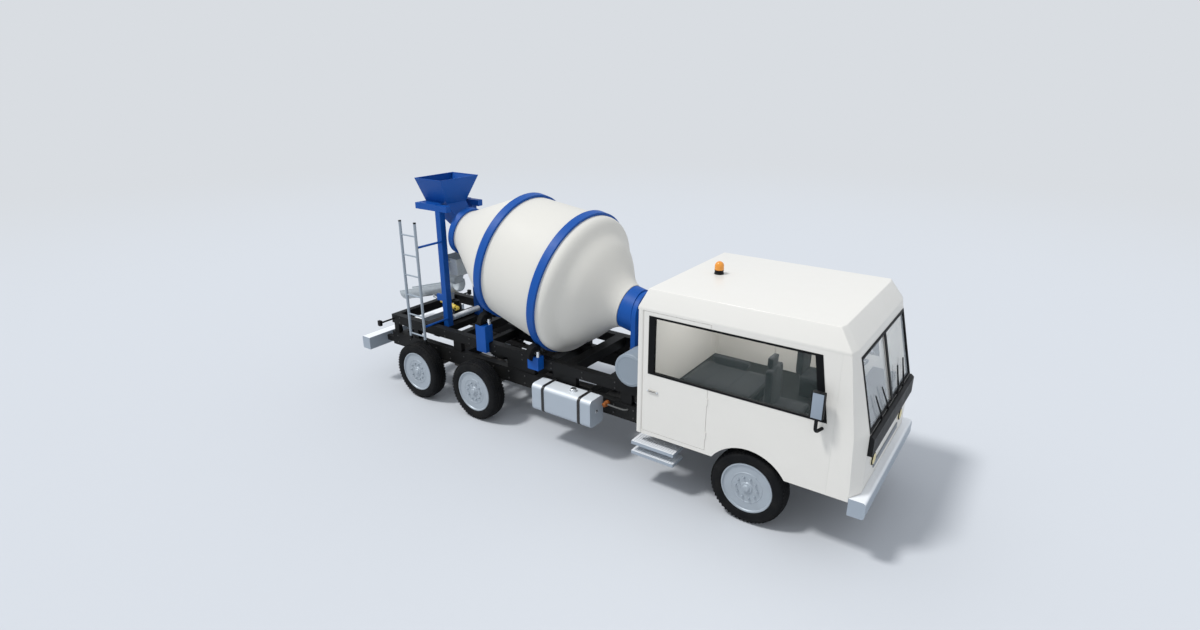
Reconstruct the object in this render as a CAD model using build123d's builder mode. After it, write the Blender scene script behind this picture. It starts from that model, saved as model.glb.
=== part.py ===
from build123d import *
import os
from math import cos, radians, sin, sqrt

# Concrete mixer truck with three axles: a forward cab, a ladder frame, and on a second frame a tilted
# drum with its drive, water tank, rollers, feed hopper, discharge funnel, swinging chute and ladder.
# Millimetres. X points forward, Y to the left, Z up, from the ground below the middle of the length.
# A place along the truck is given as a distance ahead of the front axle, so most of them are negative.

os.makedirs("parts", exist_ok=True)

FRONT_AXLE = 3292.5        # front axle ahead of the middle of the length
SEAT = 0.3                 # gap of a curved piece in its seat
GAP = 5                    # gap round what moves
SIDES = (("left", 1), ("right", -1))


def ahead(distance):
    """Place on X of a point given by its distance ahead of the front axle."""
    return FRONT_AXLE + distance


def write(piece, label):
    piece.part.label = label
    export_step(piece.part, f"parts/{label}.step")


def block(x, y, z, mode=Mode.ADD):
    """Box between the two ends given on each axis, in the truck's frame."""
    size = [abs(end[1] - end[0]) for end in (x, y, z)]
    with Locations(((x[0] + x[1]) / 2, (y[0] + y[1]) / 2, (z[0] + z[1]) / 2)):
        return Box(*size, mode=mode)


def blocks(x, y, z, mode=Mode.ADD):
    """The same box on both sides of the truck."""
    for _, side in SIDES:
        block(x, (side * y[0], side * y[1]), z, mode)


# ---------------------------------------------------------------- wheels and tyres
TYRE_R = 532
TYRE_WIDTH = 270
WHEEL_Y = 1085             # middle plane of a wheel
RIM_R = 363                # where tyre and rim meet
SHOULDER_R = TYRE_R - 32
RIM_WALL = 23
RIM_LIP = TYRE_WIDTH / 2 - 20      # outer end of the rim
DISC = (RIM_LIP - 33, RIM_LIP - 13)    # wheel disc, outwards from the middle plane
HUB_R = 110
HUB_IN = -20               # inner face of the hub
CAP_R = 46
CAP_OUT = TYRE_WIDTH / 2 + 3       # end of the hub cap
SPINDLE_R = 40
BORE_END = 60
AXLE_Z = TYRE_R
AXLES = (("front", 0), ("middle", -5050), ("rear", -6500))


def wheel_plane(axle, side):
    """Plane through the wheel's axis: x outwards along the axis, y radial."""
    return Plane(origin=(ahead(axle), side * WHEEL_Y, AXLE_Z), x_dir=(0, side, 0), z_dir=(side, 0, 0))


for axle, place in AXLES:
    for hand, side in SIDES:
        plane = wheel_plane(place, side)
        spin = Axis(plane.origin, plane.x_dir)
        half = TYRE_WIDTH / 2
        with BuildPart() as tyre:
            with BuildSketch(plane):
                with BuildLine():
                    Line((-half + 25, RIM_R), (half - 25, RIM_R))
                    ThreePointArc((half - 25, RIM_R), (half, (RIM_R + SHOULDER_R) / 2), (half - 22, SHOULDER_R))
                    ThreePointArc((half - 22, SHOULDER_R), (half - 38, TYRE_R - 12), (half - 68, TYRE_R - 3))
                    ThreePointArc((half - 68, TYRE_R - 3), (0, TYRE_R), (-half + 68, TYRE_R - 3))
                    ThreePointArc((-half + 68, TYRE_R - 3), (-half + 38, TYRE_R - 12), (-half + 22, SHOULDER_R))
                    ThreePointArc((-half + 22, SHOULDER_R), (-half, (RIM_R + SHOULDER_R) / 2), (-half + 25, RIM_R))
                make_face()
            revolve(axis=spin)
        write(tyre, f"tyre_{axle}_{hand}")

        rim_r = RIM_R - SEAT
        with BuildPart() as wheel:
            with BuildSketch(plane):
                with BuildLine():
                    Polyline(
                        (-RIM_LIP, rim_r), (RIM_LIP, rim_r), (RIM_LIP, rim_r - RIM_WALL), (DISC[1], rim_r - 32),
                        (DISC[1], HUB_R - 20), (DISC[1] + 14, HUB_R - 34), (DISC[1] + 14, CAP_R + 8),
                        (CAP_OUT - 8, CAP_R), (CAP_OUT, CAP_R - 12), (CAP_OUT, 0),
                        (BORE_END, 0), (BORE_END, SPINDLE_R + SEAT), (HUB_IN, SPINDLE_R + SEAT), (HUB_IN, HUB_R),
                        (DISC[0], HUB_R), (DISC[0], rim_r - 60), (DISC[0] - 25, rim_r - RIM_WALL),
                        (-RIM_LIP, rim_r - RIM_WALL), close=True,
                    )
                make_face()
            revolve(axis=spin)
        write(wheel, f"wheel_{axle}_{hand}")

# ---------------------------------------------------------------- main frame and bumpers
RAIL_Y = (720, 850)        # inner and outer face of a rail
RAIL_Z = (735, 995)
NOSE_Y = (350, 450)        # the same rail between the front wheels
RAIL_BACK = -7550
RAIL_NECK = (-1150, -800)  # where the rail turns inwards
BUMPER = {"x": (1310, 1515), "y": 1263, "z": (699, 932)}
TAIL = {"x": (-7969, -7757), "y": 1250, "z": (686, 925)}

with BuildPart() as main_frame:
    with BuildSketch(Plane.XY.offset(RAIL_Z[0])):
        with BuildLine():
            Polyline(
                (ahead(RAIL_BACK), RAIL_Y[0]), (ahead(RAIL_BACK), RAIL_Y[1]), (ahead(RAIL_NECK[0]), RAIL_Y[1]),
                (ahead(RAIL_NECK[1]), NOSE_Y[1]), (ahead(BUMPER["x"][0]), NOSE_Y[1]),
                (ahead(BUMPER["x"][0]), NOSE_Y[0]), (ahead(RAIL_NECK[1]), NOSE_Y[0]),
                (ahead(RAIL_NECK[0]), RAIL_Y[0]), close=True,
            )
        make_face()
    extrude(amount=RAIL_Z[1] - RAIL_Z[0])
    mirror(about=Plane.XZ)
    for place in (-7450, -5775, -4200, -2900, -1900):
        block((ahead(place - 60), ahead(place + 60)), (-RAIL_Y[0], RAIL_Y[0]), (RAIL_Z[0] + 50, RAIL_Z[1] - 50))
    block((ahead(1150), ahead(1250)), (-NOSE_Y[0], NOSE_Y[0]), (RAIL_Z[0] + 50, RAIL_Z[1] - 50))
    blocks((ahead(TAIL["x"][1]), ahead(RAIL_BACK)), (RAIL_Y[0] + 20, RAIL_Y[1] - 20), (760, 860))
write(main_frame, "main_frame")

with BuildPart() as bumper:
    block((ahead(BUMPER["x"][0]), ahead(BUMPER["x"][1])), (-BUMPER["y"], BUMPER["y"]), BUMPER["z"])
    fillet(bumper.edges().filter_by(Axis.Y).group_by(Axis.X)[-1], 40)
    block((ahead(TAIL["x"][0]), ahead(TAIL["x"][1])), (-TAIL["y"], TAIL["y"]), TAIL["z"])
    fillet(bumper.edges().filter_by(Axis.Y).group_by(Axis.X)[0], 18)
write(bumper, "bumpers")

# ---------------------------------------------------------------- axles, knuckles and springs
KINGPIN_Y = 800
KINGPIN_R = 20
DRUM_BRAKE = {"r": 200, "y": (930, 1040)}
EYE_R = 55                 # end of the front beam
EYE_HALF = 70
FORK = (EYE_HALF + GAP, EYE_HALF + 45)
FORK_PLATE = (865, 905)
TIE_ARM = 170              # tie rod behind the kingpins
TIE_Y = KINGPIN_Y          # arms parallel to the truck, so that the rod keeps its length
TIE_R = 20
ARM_Z = (AXLE_Z - FORK[1], AXLE_Z - FORK[1] + 30)
AXLE_TUBE_R = 75
BEAM_Z = (AXLE_Z - 182, AXLE_Z - 92)   # dropped middle of the front beam
DIFF_R = 190               # round middle of a rear axle
DIFF_NOSE = 240            # flat ends of its nose, ahead and behind
FLANGE_R = 75
SPRING_Y = (365, 445)

with BuildPart() as front_axle:
    with BuildSketch(Plane.YZ.offset(ahead(-50))):
        with BuildLine():
            Polyline(
                (-KINGPIN_Y, AXLE_Z - EYE_HALF), (-KINGPIN_Y + 120, AXLE_Z - EYE_HALF), (-560, BEAM_Z[0]),
                (560, BEAM_Z[0]), (KINGPIN_Y - 120, AXLE_Z - EYE_HALF), (KINGPIN_Y, AXLE_Z - EYE_HALF),
                (KINGPIN_Y, AXLE_Z + EYE_HALF), (KINGPIN_Y - 110, AXLE_Z + EYE_HALF), (500, BEAM_Z[1]),
                (-500, BEAM_Z[1]), (-KINGPIN_Y + 110, AXLE_Z + EYE_HALF), (-KINGPIN_Y, AXLE_Z + EYE_HALF),
                close=True,
            )
        make_face()
    extrude(amount=100)
    with Locations(*[(ahead(0), side * KINGPIN_Y, AXLE_Z) for _, side in SIDES]):
        Cylinder(EYE_R, 2 * EYE_HALF)
        Cylinder(KINGPIN_R + SEAT, 2 * EYE_HALF, mode=Mode.SUBTRACT)
write(front_axle, "front_axle")

for hand, side in SIDES:
    with BuildPart() as knuckle:
        block((ahead(-60), ahead(60)), (side * FORK_PLATE[0], side * FORK_PLATE[1]),
              (AXLE_Z - FORK[1], AXLE_Z + FORK[1]))
        for low, high in ((-FORK[1], -FORK[0]), (FORK[0], FORK[1])):
            block((ahead(-55), ahead(55)), (side * (KINGPIN_Y - 55), side * FORK_PLATE[0]),
                  (AXLE_Z + low, AXLE_Z + high))
        with Locations((ahead(0), side * KINGPIN_Y, AXLE_Z)):
            Cylinder(KINGPIN_R, 2 * FORK[0] + 20)
        hub = Plane(origin=(ahead(0), side * FORK_PLATE[1], AXLE_Z), x_dir=(1, 0, 0), z_dir=(0, side, 0))
        with BuildSketch(hub):
            Circle(70)
        extrude(amount=DRUM_BRAKE["y"][0] - FORK_PLATE[1])
        with BuildSketch(hub.offset(DRUM_BRAKE["y"][0] - FORK_PLATE[1])):
            Circle(DRUM_BRAKE["r"])
        extrude(amount=DRUM_BRAKE["y"][1] - DRUM_BRAKE["y"][0])
        with BuildSketch(hub.offset(DRUM_BRAKE["y"][1] - FORK_PLATE[1])):
            Circle(SPINDLE_R)
        extrude(amount=WHEEL_Y + BORE_END - GAP - DRUM_BRAKE["y"][1])
        block((ahead(-TIE_ARM - 25), ahead(-55)), (side * (TIE_Y - 20), side * (TIE_Y + 20)), ARM_Z)
        with Locations((ahead(-TIE_ARM), side * TIE_Y, ARM_Z[0] - 25)):
            Cylinder(10, 50)
    write(knuckle, f"knuckle_{hand}")

TIE_Z = ARM_Z[0] - GAP - TIE_R
with BuildPart() as tie_rod:
    with BuildSketch(Plane.XZ.offset(-TIE_Y + 30)):
        with Locations((ahead(-TIE_ARM), TIE_Z)):
            Circle(TIE_R)
    extrude(amount=2 * TIE_Y - 60)
    for _, side in SIDES:
        with Locations((ahead(-TIE_ARM), side * TIE_Y, TIE_Z)):
            Cylinder(32, 2 * TIE_R)
            Cylinder(10 + SEAT, 2 * TIE_R, mode=Mode.SUBTRACT)
write(tie_rod, "tie_rod")

with BuildPart() as rear_axles:
    for axle, place in AXLES[1:]:
        middle = Plane(origin=(ahead(place), 0, AXLE_Z), x_dir=(1, 0, 0), z_dir=(0, 1, 0))
        for radius, reach in (
            (AXLE_TUBE_R, DRUM_BRAKE["y"][0]),
            (SPINDLE_R, WHEEL_Y + BORE_END - GAP),
        ):
            with BuildSketch(middle):
                Circle(radius)
            extrude(amount=reach, both=True)
        for _, side in SIDES:
            with BuildSketch(middle.offset(side * DRUM_BRAKE["y"][0])):
                Circle(DRUM_BRAKE["r"])
            extrude(amount=side * (DRUM_BRAKE["y"][1] - DRUM_BRAKE["y"][0]))
        with Locations((ahead(place), 0, AXLE_Z)):
            Sphere(DIFF_R)
        with BuildSketch(Plane.YZ.offset(ahead(place - DIFF_NOSE))):
            with Locations((0, AXLE_Z)):
                Circle(FLANGE_R)
        extrude(amount=2 * DIFF_NOSE)
write(rear_axles, "rear_axles")

LEAF = 50                  # thickness of a spring pack
BOGIE = (AXLES[1][1] + AXLES[2][1]) / 2
BOGIE_Y = (600, 690)
with BuildPart() as springs:
    for _, side in SIDES:
        with BuildSketch(Plane.XZ.offset(-side * SPRING_Y[0])):
            with BuildLine():
                ends = [(ahead(-760), RAIL_Z[0] - LEAF), (ahead(760), RAIL_Z[0] - LEAF)]
                ThreePointArc(ends[0], (ahead(0), BEAM_Z[1]), ends[1])
                Line(ends[1], (ends[1][0], RAIL_Z[0]))
                ThreePointArc((ends[1][0], RAIL_Z[0]), (ahead(0), BEAM_Z[1] + 90), (ends[0][0], RAIL_Z[0]))
                Line((ends[0][0], RAIL_Z[0]), ends[0])
            make_face()
        extrude(amount=-side * (SPRING_Y[1] - SPRING_Y[0]))
        with BuildSketch(Plane.XZ.offset(-side * BOGIE_Y[0])):
            low = AXLE_Z + AXLE_TUBE_R
            a, b = ahead(AXLES[2][1] - 90), ahead(AXLES[1][1] + 90)
            with BuildLine():
                ThreePointArc((a, low), (ahead(BOGIE), low + 18), (b, low))
                Line((b, low), (b, low + 35))
                ThreePointArc((b, low + 35), (ahead(BOGIE), RAIL_Z[0] - 15), (a, low + 35))
                Line((a, low + 35), (a, low))
            make_face()
        extrude(amount=-side * (BOGIE_Y[1] - BOGIE_Y[0]))
        block((ahead(BOGIE - 90), ahead(BOGIE + 90)), (side * BOGIE_Y[0], side * RAIL_Y[1]),
              (RAIL_Z[0] - 40, RAIL_Z[0]))
write(springs, "leaf_springs")

# ---------------------------------------------------------------- engine and driveline
ENGINE = {"x": (-900, 350), "y": 335, "z": (590, 1160)}
with BuildPart() as engine:
    block((ahead(ENGINE["x"][0]), ahead(ENGINE["x"][1])), (-ENGINE["y"], ENGINE["y"]), ENGINE["z"])
    blocks((ahead(-500), ahead(-400)), (ENGINE["y"], NOSE_Y[0]), (800, 900))
write(engine, "engine")

SHAFT_R = 60
FLANGE_LONG = 60
OUTPUT_Z = 700             # height of the gearbox's output
shaft_runs = (
    ((ahead(ENGINE["x"][0]), OUTPUT_Z), (ahead(AXLES[1][1] + DIFF_NOSE), AXLE_Z)),
    ((ahead(AXLES[1][1] - DIFF_NOSE), AXLE_Z), (ahead(AXLES[2][1] + DIFF_NOSE), AXLE_Z)),
)
with BuildPart() as shaft:
    for start, end in shaft_runs:
        front, back = Vector(start[0], 0, start[1]), Vector(end[0], 0, end[1])
        inset = Vector(FLANGE_LONG / 2, 0, 0)
        run = (back + inset) - (front - inset)
        with BuildSketch(Plane(origin=front - inset, z_dir=run)):
            Circle(SHAFT_R)
        extrude(amount=run.length)
        for place, height in ((start[0] - FLANGE_LONG, start[1]), (end[0], end[1])):
            with BuildSketch(Plane.YZ.offset(place)):
                with Locations((0, height)):
                    Circle(FLANGE_R)
            extrude(amount=FLANGE_LONG)
write(shaft, "propeller_shafts")

# ---------------------------------------------------------------- tanks and steps beside the frame
TANK = {"x": (-3710, -2560), "y": (RAIL_Y[1], 1200), "z": (590, 1050)}
with BuildPart() as fuel_tank:
    block((ahead(TANK["x"][0]), ahead(TANK["x"][1])), (-TANK["y"][0], -TANK["y"][1]), TANK["z"])
    fillet(fuel_tank.edges().filter_by(Axis.X), 70)
write(fuel_tank, "fuel_tank")

AIR_R = 130
with BuildPart() as air_tanks:
    for start in (-3700, -2900):
        with BuildSketch(Plane.YZ.offset(ahead(start))):
            with Locations((RAIL_Y[1] + AIR_R, 850)):
                Circle(AIR_R)
        extrude(amount=740)
write(air_tanks, "air_tanks")

STEP = {"x": (-1750, -1060), "y": (1010, 1300), "tops": (720, 560), "thick": 50}
BRACKET_X = (-1690, -1190)
with BuildPart() as steps:
    for _, side in SIDES:
        for top in STEP["tops"]:
            block((ahead(STEP["x"][0]), ahead(STEP["x"][1])), (side * STEP["y"][0], side * STEP["y"][1]),
                  (top - STEP["thick"], top))
        for place in BRACKET_X:
            block((ahead(place), ahead(place + 40)), (side * (STEP["y"][0] - 40), side * STEP["y"][0]),
                  (STEP["tops"][1] - STEP["thick"], 900))
            block((ahead(place), ahead(place + 40)), (side * RAIL_Y[1], side * (STEP["y"][0] - 40)),
                  (860, 900))
write(steps, "cab_steps")

# ---------------------------------------------------------------- cab
WALL = 50
REAR_SEAM = -1615
FRONT_SEAM = 1030
ARCH_R = TYRE_R + 74
FLOOR_Z = (1200, 1250)
# columns: height, back, front of the side, nose, half width, half width of the nose
CAB = (
    (867, -1708, 1314, 1405, 1250, 1079),
    (1722, -1708, 1270, 1405, 1250, 1079),
    (2769, -1708, 1125, 1160, 1250, 1079),
    (3026, -1594, 950, 979, 1165, 1040),
)
SEAM_DROP = 34             # roof's seam, below the foot of its slope
ROOF_SEAM = CAB[2][0] - SEAM_DROP
WINDOW = {"back": -1530, "front": (945, 807), "z": (1826, 2677)}
SCREEN = {"z": (1735, 2655), "y": (28, 1040)}
DOOR = {"x": (-1610, -620), "z": (930, ROOF_SEAM - GAP)}
HINGE_R = 12
HINGE_X = DOOR["x"][1] + 1.5 * GAP
HINGE_Z = (1150, 1650)
HINGE_LONG = 90


def cab_outline(row, inset):
    """Corners of the cab at one height, moved inwards by the inset."""
    z, back, side_front, nose, half, nose_half = row
    half, nose_half = half - inset, nose_half - 0.6 * inset
    back, side_front, nose = ahead(back + inset), ahead(side_front - 0.6 * inset), ahead(nose - inset)
    return [(back, -half), (side_front, -half), (nose, -nose_half), (nose, nose_half), (side_front, half), (back, half)]


# the room's sections: how far below the cab's own section, and how far inside it
ROOM = ((10, WALL), (0, WALL), (12, WALL), (WALL, WALL - 15))
with BuildPart() as cab_room:
    for row, (below, inset) in zip(CAB, ROOM):
        with BuildSketch(Plane.XY.offset(row[0] - below)):
            with BuildLine():
                Polyline(*cab_outline(row, inset), close=True)
            make_face()
    loft(ruled=True)

with BuildPart() as cab_shell:
    for row in CAB:
        with BuildSketch(Plane.XY.offset(row[0])):
            with BuildLine():
                Polyline(*cab_outline(row, 0), close=True)
            make_face()
    loft(ruled=True)
    add(cab_room.part, mode=Mode.SUBTRACT)
    with BuildSketch(Plane.XZ):
        with BuildLine():
            Polyline(
                (ahead(WINDOW["back"]), WINDOW["z"][0]), (ahead(WINDOW["front"][0]), WINDOW["z"][0]),
                (ahead(WINDOW["front"][1]), WINDOW["z"][1]), (ahead(WINDOW["back"]), WINDOW["z"][1]), close=True,
            )
        make_face()
        with Locations((ahead(0), AXLE_Z)):
            Circle(ARCH_R)
    extrude(amount=2000, both=True, mode=Mode.SUBTRACT)
    with BuildSketch(Plane.YZ.offset(ahead(FRONT_SEAM + 10))):
        for _, side in SIDES:
            with Locations((side * sum(SCREEN["y"]) / 2, sum(SCREEN["z"]) / 2)):
                Rectangle(SCREEN["y"][1] - SCREEN["y"][0], SCREEN["z"][1] - SCREEN["z"][0])
    extrude(amount=600, mode=Mode.SUBTRACT)
    block((ahead(BUMPER["x"][0] - GAP), ahead(1600)), (-1300, 1300), (800, BUMPER["z"][1] + GAP), Mode.SUBTRACT)

door_edge = (ahead(DOOR["x"][0]), ahead(DOOR["x"][1]))
opening = {"x": (door_edge[0] - GAP, door_edge[1] + GAP), "z": (DOOR["z"][0] - GAP, ROOF_SEAM)}
with BuildPart() as cab_roof:
    add(cab_shell.part)
    split(bisect_by=Plane.XY.offset(ROOF_SEAM), keep=Keep.TOP)
write(cab_roof, "cab_roof")

with BuildPart() as cab_body:
    add(cab_shell.part)
    split(bisect_by=Plane.XY.offset(ROOF_SEAM), keep=Keep.BOTTOM)

with BuildPart() as cab_rear_wall:
    add(cab_body.part)
    split(bisect_by=Plane.YZ.offset(ahead(REAR_SEAM)), keep=Keep.BOTTOM)
    block((ahead(CAB[0][1]) - 5, ahead(REAR_SEAM)), (-CAB[0][4] + WALL, CAB[0][4] - WALL), (800, FLOOR_Z[0]),
          Mode.SUBTRACT)
write(cab_rear_wall, "cab_rear_wall")

with BuildPart() as cab_front:
    add(cab_body.part)
    split(bisect_by=Plane.YZ.offset(ahead(FRONT_SEAM)), keep=Keep.TOP)
write(cab_front, "cab_front")

with BuildPart() as cab_sides:
    add(cab_body.part)
    split(bisect_by=Plane.YZ.offset(ahead(REAR_SEAM)), keep=Keep.TOP)
    split(bisect_by=Plane.YZ.offset(ahead(FRONT_SEAM)), keep=Keep.BOTTOM)
    block(opening["x"], (-1300, 1300), opening["z"], Mode.SUBTRACT)
    for _, side in SIDES:
        for place in HINGE_Z:
            with Locations((ahead(HINGE_X), side * CAB[0][4], place)):
                Cylinder(HINGE_R + SEAT, HINGE_LONG + 2 * SEAT, mode=Mode.SUBTRACT)
write(cab_sides, "cab_sides")

for hand, side in SIDES:
    near, far = sorted((side * (CAB[0][4] - WALL), side * CAB[0][4]))
    with BuildPart() as door:
        add(cab_body.part)
        block(door_edge, (near, far), DOOR["z"], Mode.INTERSECT)
        for place in HINGE_Z:
            with Locations((ahead(HINGE_X), side * CAB[0][4], place)):
                Cylinder(HINGE_R, HINGE_LONG)
        block((ahead(-1510), ahead(-1380)), (side * CAB[0][4], side * (CAB[0][4] + 22)), (1560, 1585))
    write(door, f"door_{hand}")

with BuildPart() as cab_floor:
    block((ahead(CAB[0][1] + WALL), ahead(1240)), (-1195, 1195), FLOOR_Z)
    blocks((ahead(-1500), ahead(-1400)), (RAIL_Y[0] + 10, RAIL_Y[1] - 10), (RAIL_Z[1], FLOOR_Z[0]))
    blocks((ahead(1000), ahead(1100)), (NOSE_Y[0], NOSE_Y[1]), (RAIL_Z[1], FLOOR_Z[0]))
write(cab_floor, "cab_floor")

# ---------------------------------------------------------------- inside the cab
SEAT_X = (-20, 500)
SEAT_Y = (370, 860)
CUSHION_Z = 1610
BACK_TOP = 2110
BENCH = {"x": (-1450, -350), "y": 450, "z": (FLOOR_Z[1], 1480), "back": (-1320, -700, 1600)}
DASH = {"x": (850, 1230), "z": (FLOOR_Z[1], 1720), "y": 1030}
STEERING = Vector(ahead(720), 620, 1830)

with BuildPart() as seats:
    for _, side in SIDES:
        with BuildSketch(Plane.XZ.offset(-side * SEAT_Y[0])):
            with BuildLine():
                Polyline(
                    (ahead(SEAT_X[0] + 60), FLOOR_Z[1]), (ahead(SEAT_X[1] - 60), FLOOR_Z[1]),
                    (ahead(SEAT_X[1]), CUSHION_Z - 110), (ahead(SEAT_X[1]), CUSHION_Z),
                    (ahead(SEAT_X[0] + 120), CUSHION_Z - 20), (ahead(SEAT_X[0] + 60), BACK_TOP),
                    (ahead(SEAT_X[0] + 40), BACK_TOP + 160), (ahead(SEAT_X[0] - 40), BACK_TOP + 160),
                    (ahead(SEAT_X[0] - 50), BACK_TOP), (ahead(SEAT_X[0]), CUSHION_Z - 110), close=True,
                )
            make_face()
        extrude(amount=-side * (SEAT_Y[1] - SEAT_Y[0]))
    block((ahead(BENCH["x"][0]), ahead(BENCH["x"][1])), (-BENCH["y"], BENCH["y"]), BENCH["z"])
    block((ahead(BENCH["back"][0]), ahead(BENCH["back"][1])), (BENCH["y"] - 120, BENCH["y"]),
          (BENCH["z"][1], BENCH["back"][2]))
write(seats, "seats")

with BuildPart() as dash:
    with BuildSketch(Plane.XZ.offset(-DASH["y"])):
        with BuildLine():
            Polyline(
                (ahead(DASH["x"][0] + 120), DASH["z"][0]), (ahead(DASH["x"][1]), DASH["z"][0]),
                (ahead(DASH["x"][1]), DASH["z"][1]), (ahead(DASH["x"][0] + 60), DASH["z"][1]),
                (ahead(DASH["x"][0]), DASH["z"][1] - 160), close=True,
            )
        make_face()
    extrude(amount=2 * DASH["y"])
write(dash, "dashboard")

column = Plane(origin=STEERING, z_dir=(-0.5, 0, 0.87), x_dir=(0, 1, 0))
with BuildPart() as steering_wheel:
    with BuildSketch(Plane(origin=STEERING + column.x_dir * 210, z_dir=column.y_dir, x_dir=column.x_dir)):
        Circle(18)
    revolve(axis=Axis(column.origin, column.z_dir))
    with BuildSketch(column.offset(-15)):
        Rectangle(410, 40)
        Circle(50)
    extrude(amount=25)
    with BuildSketch(column.offset(-260)):
        Circle(25)
    extrude(amount=250)
write(steering_wheel, "steering_wheel")

# ---------------------------------------------------------------- on the cab
BEACON = {"x": -1130, "base": (70, 60), "dome": (70, 128)}
COWL = {"y": 1075, "z": (1460, 1722), "out": 60}
with BuildPart() as cowl:
    block((ahead(CAB[0][3]), ahead(CAB[0][3] + COWL["out"])), (-COWL["y"], COWL["y"]), COWL["z"])
    chamfer(cowl.edges().filter_by(Axis.Y).group_by(Axis.X)[-1].sort_by(Axis.Z)[-1], 35)
write(cowl, "cowl")

LAMP = {"y": 710, "z": 1245, "r": 85, "out": 35}
MIRROR_OUT = 170
MIRROR = Vector(ahead(855), CAB[0][4] + MIRROR_OUT, 2100)            # middle of the head's outer face
ARM_FOOT = Vector(ahead(895), CAB[0][4], 1745)
ARM_R = 22
with BuildPart() as mirrors:
    for _, side in SIDES:
        with BuildSketch(Plane(origin=(MIRROR.X, side * MIRROR.Y, MIRROR.Z), x_dir=(1, 0, 0), z_dir=(0, -side, 0))):
            RectangleRounded(155, 345, 12)
        extrude(amount=60)
        foot = Vector(ARM_FOOT.X, side * ARM_FOOT.Y, ARM_FOOT.Z)
        bend = Vector(MIRROR.X, side * (MIRROR.Y - 30), ARM_FOOT.Z)
        top = Vector(MIRROR.X, side * (MIRROR.Y - 30), MIRROR.Z)
        with BuildLine() as arm:
            FilletPolyline(foot, bend, top, radius=(MIRROR.Y - ARM_FOOT.Y) / 3)
        with BuildSketch(Plane(origin=foot, z_dir=(0, side, 0))):
            Circle(ARM_R)
        sweep(path=arm.line)
write(mirrors, "mirrors")

# ---------------------------------------------------------------- mixer frame
SUB_Z = (1180, 1350)
SUB_X = (-7530, -1760)
SWIVEL_X = -6620           # upright column that the chute turns on
COLUMN_R = 40
COLUMN_Z = (1290, 1550)
POST_LAP = 30              # how far the cross-member below the hopper's posts laps the rails
POST_BASE = SUB_Z[0] + POST_LAP
with BuildPart() as mixer_frame:
    blocks((ahead(SUB_X[0]), ahead(SUB_X[1])), RAIL_Y, SUB_Z)
    for back, front in ((-7530, -7410), (-5760, -5640), (-3370, -3180), (-2510, -2310)):
        block((ahead(back), ahead(front)), (-RAIL_Y[0], RAIL_Y[0]), SUB_Z)
    block((ahead(SWIVEL_X - 80), ahead(SWIVEL_X + 80)), (-RAIL_Y[0], RAIL_Y[0]), (SUB_Z[0], COLUMN_Z[0]))
    block((ahead(-6510), ahead(-6370)), (-RAIL_Y[0], RAIL_Y[0]), (POST_BASE - 120, POST_BASE))
    with Locations((ahead(SWIVEL_X), 0, sum(COLUMN_Z) / 2)):
        Cylinder(COLUMN_R, COLUMN_Z[1] - COLUMN_Z[0])
    with Locations((ahead(SWIVEL_X), 0, COLUMN_Z[0] + 50)):
        Cylinder(COLUMN_R + 20, 100)
    for back, front in ((-7500, -7380), (-6940, -6820), (-5870, -5680), (-4560, -3960), (-3560, -3100), (-2250, -2050)):
        blocks((ahead(back), ahead(front)), (RAIL_Y[0] + 20, RAIL_Y[1] - 20), (RAIL_Z[1], SUB_Z[0]))
write(mixer_frame, "mixer_frame")

MARKER = {"x": -7480, "y": (RAIL_Y[1], 1170), "z": 1265}
with BuildPart() as lamps:
    height = CAB[3][0]
    for radius, tall in (BEACON["base"], BEACON["dome"]):
        with BuildSketch(Plane.XY.offset(height)):
            with Locations((ahead(BEACON["x"]), 0)):
                Circle(radius)
        extrude(amount=tall)
        height += tall
    fillet(lamps.edges().sort_by(Axis.Z)[-1], 60)
    for _, side in SIDES:
        with BuildSketch(Plane.YZ.offset(ahead(CAB[0][3]))):
            with Locations((side * LAMP["y"], LAMP["z"])):
                Circle(LAMP["r"])
        extrude(amount=LAMP["out"])
        with BuildSketch(Plane.XZ.offset(-side * MARKER["y"][0])):
            with Locations((ahead(MARKER["x"]), MARKER["z"])):
                Circle(18)
        extrude(amount=-side * (MARKER["y"][1] - MARKER["y"][0]))
        with Locations((ahead(MARKER["x"]), side * MARKER["y"][1], MARKER["z"])):
            Box(90, 60, 110)
write(lamps, "lamps")

# ---------------------------------------------------------------- drum
TILT = radians(12.16)
axis_dir = Vector(-cos(TILT), 0, sin(TILT))    # backwards and up
DRUM_AT = Vector(ahead(-3709), 0, 2464)        # on the axis, at the back edge of the front ring
meridian = Plane(origin=DRUM_AT, x_dir=axis_dir, z_dir=(0, 1, 0))
drum_axis = Axis(DRUM_AT, axis_dir)
SHELL = 14
RING_WIDTH = 133
RING_DEPTH = 55
RINGS = {"front": (0, 1235), "rear": (1243, 1135)}      # back edge and outer radius
MOUTH = {"s": 2566, "r": 410, "width": 110}
MOUTH_LIP = 35
MOUTH["ring"] = MOUTH["r"] + MOUTH_LIP
FACE = {"s": -1092, "r": 360}                           # closed front end
CONE = (1300, MOUTH["s"] - MOUTH["width"] - 25)         # rear cone's ends, from the middle to the neck
barrel_slope = (RINGS["rear"][1] - RINGS["front"][1]) / (RINGS["rear"][0] - RINGS["front"][0])


def barrel_r(s):
    """Outer radius of the drum's middle at a place along the axis."""
    return RINGS["front"][1] - RING_DEPTH + barrel_slope * s


def cone_r(s):
    """Outer radius of the rear cone at a place along the axis."""
    return barrel_r(CONE[0]) + (MOUTH["r"] - barrel_r(CONE[0])) * (s - CONE[0]) / (CONE[1] - CONE[0])


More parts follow.
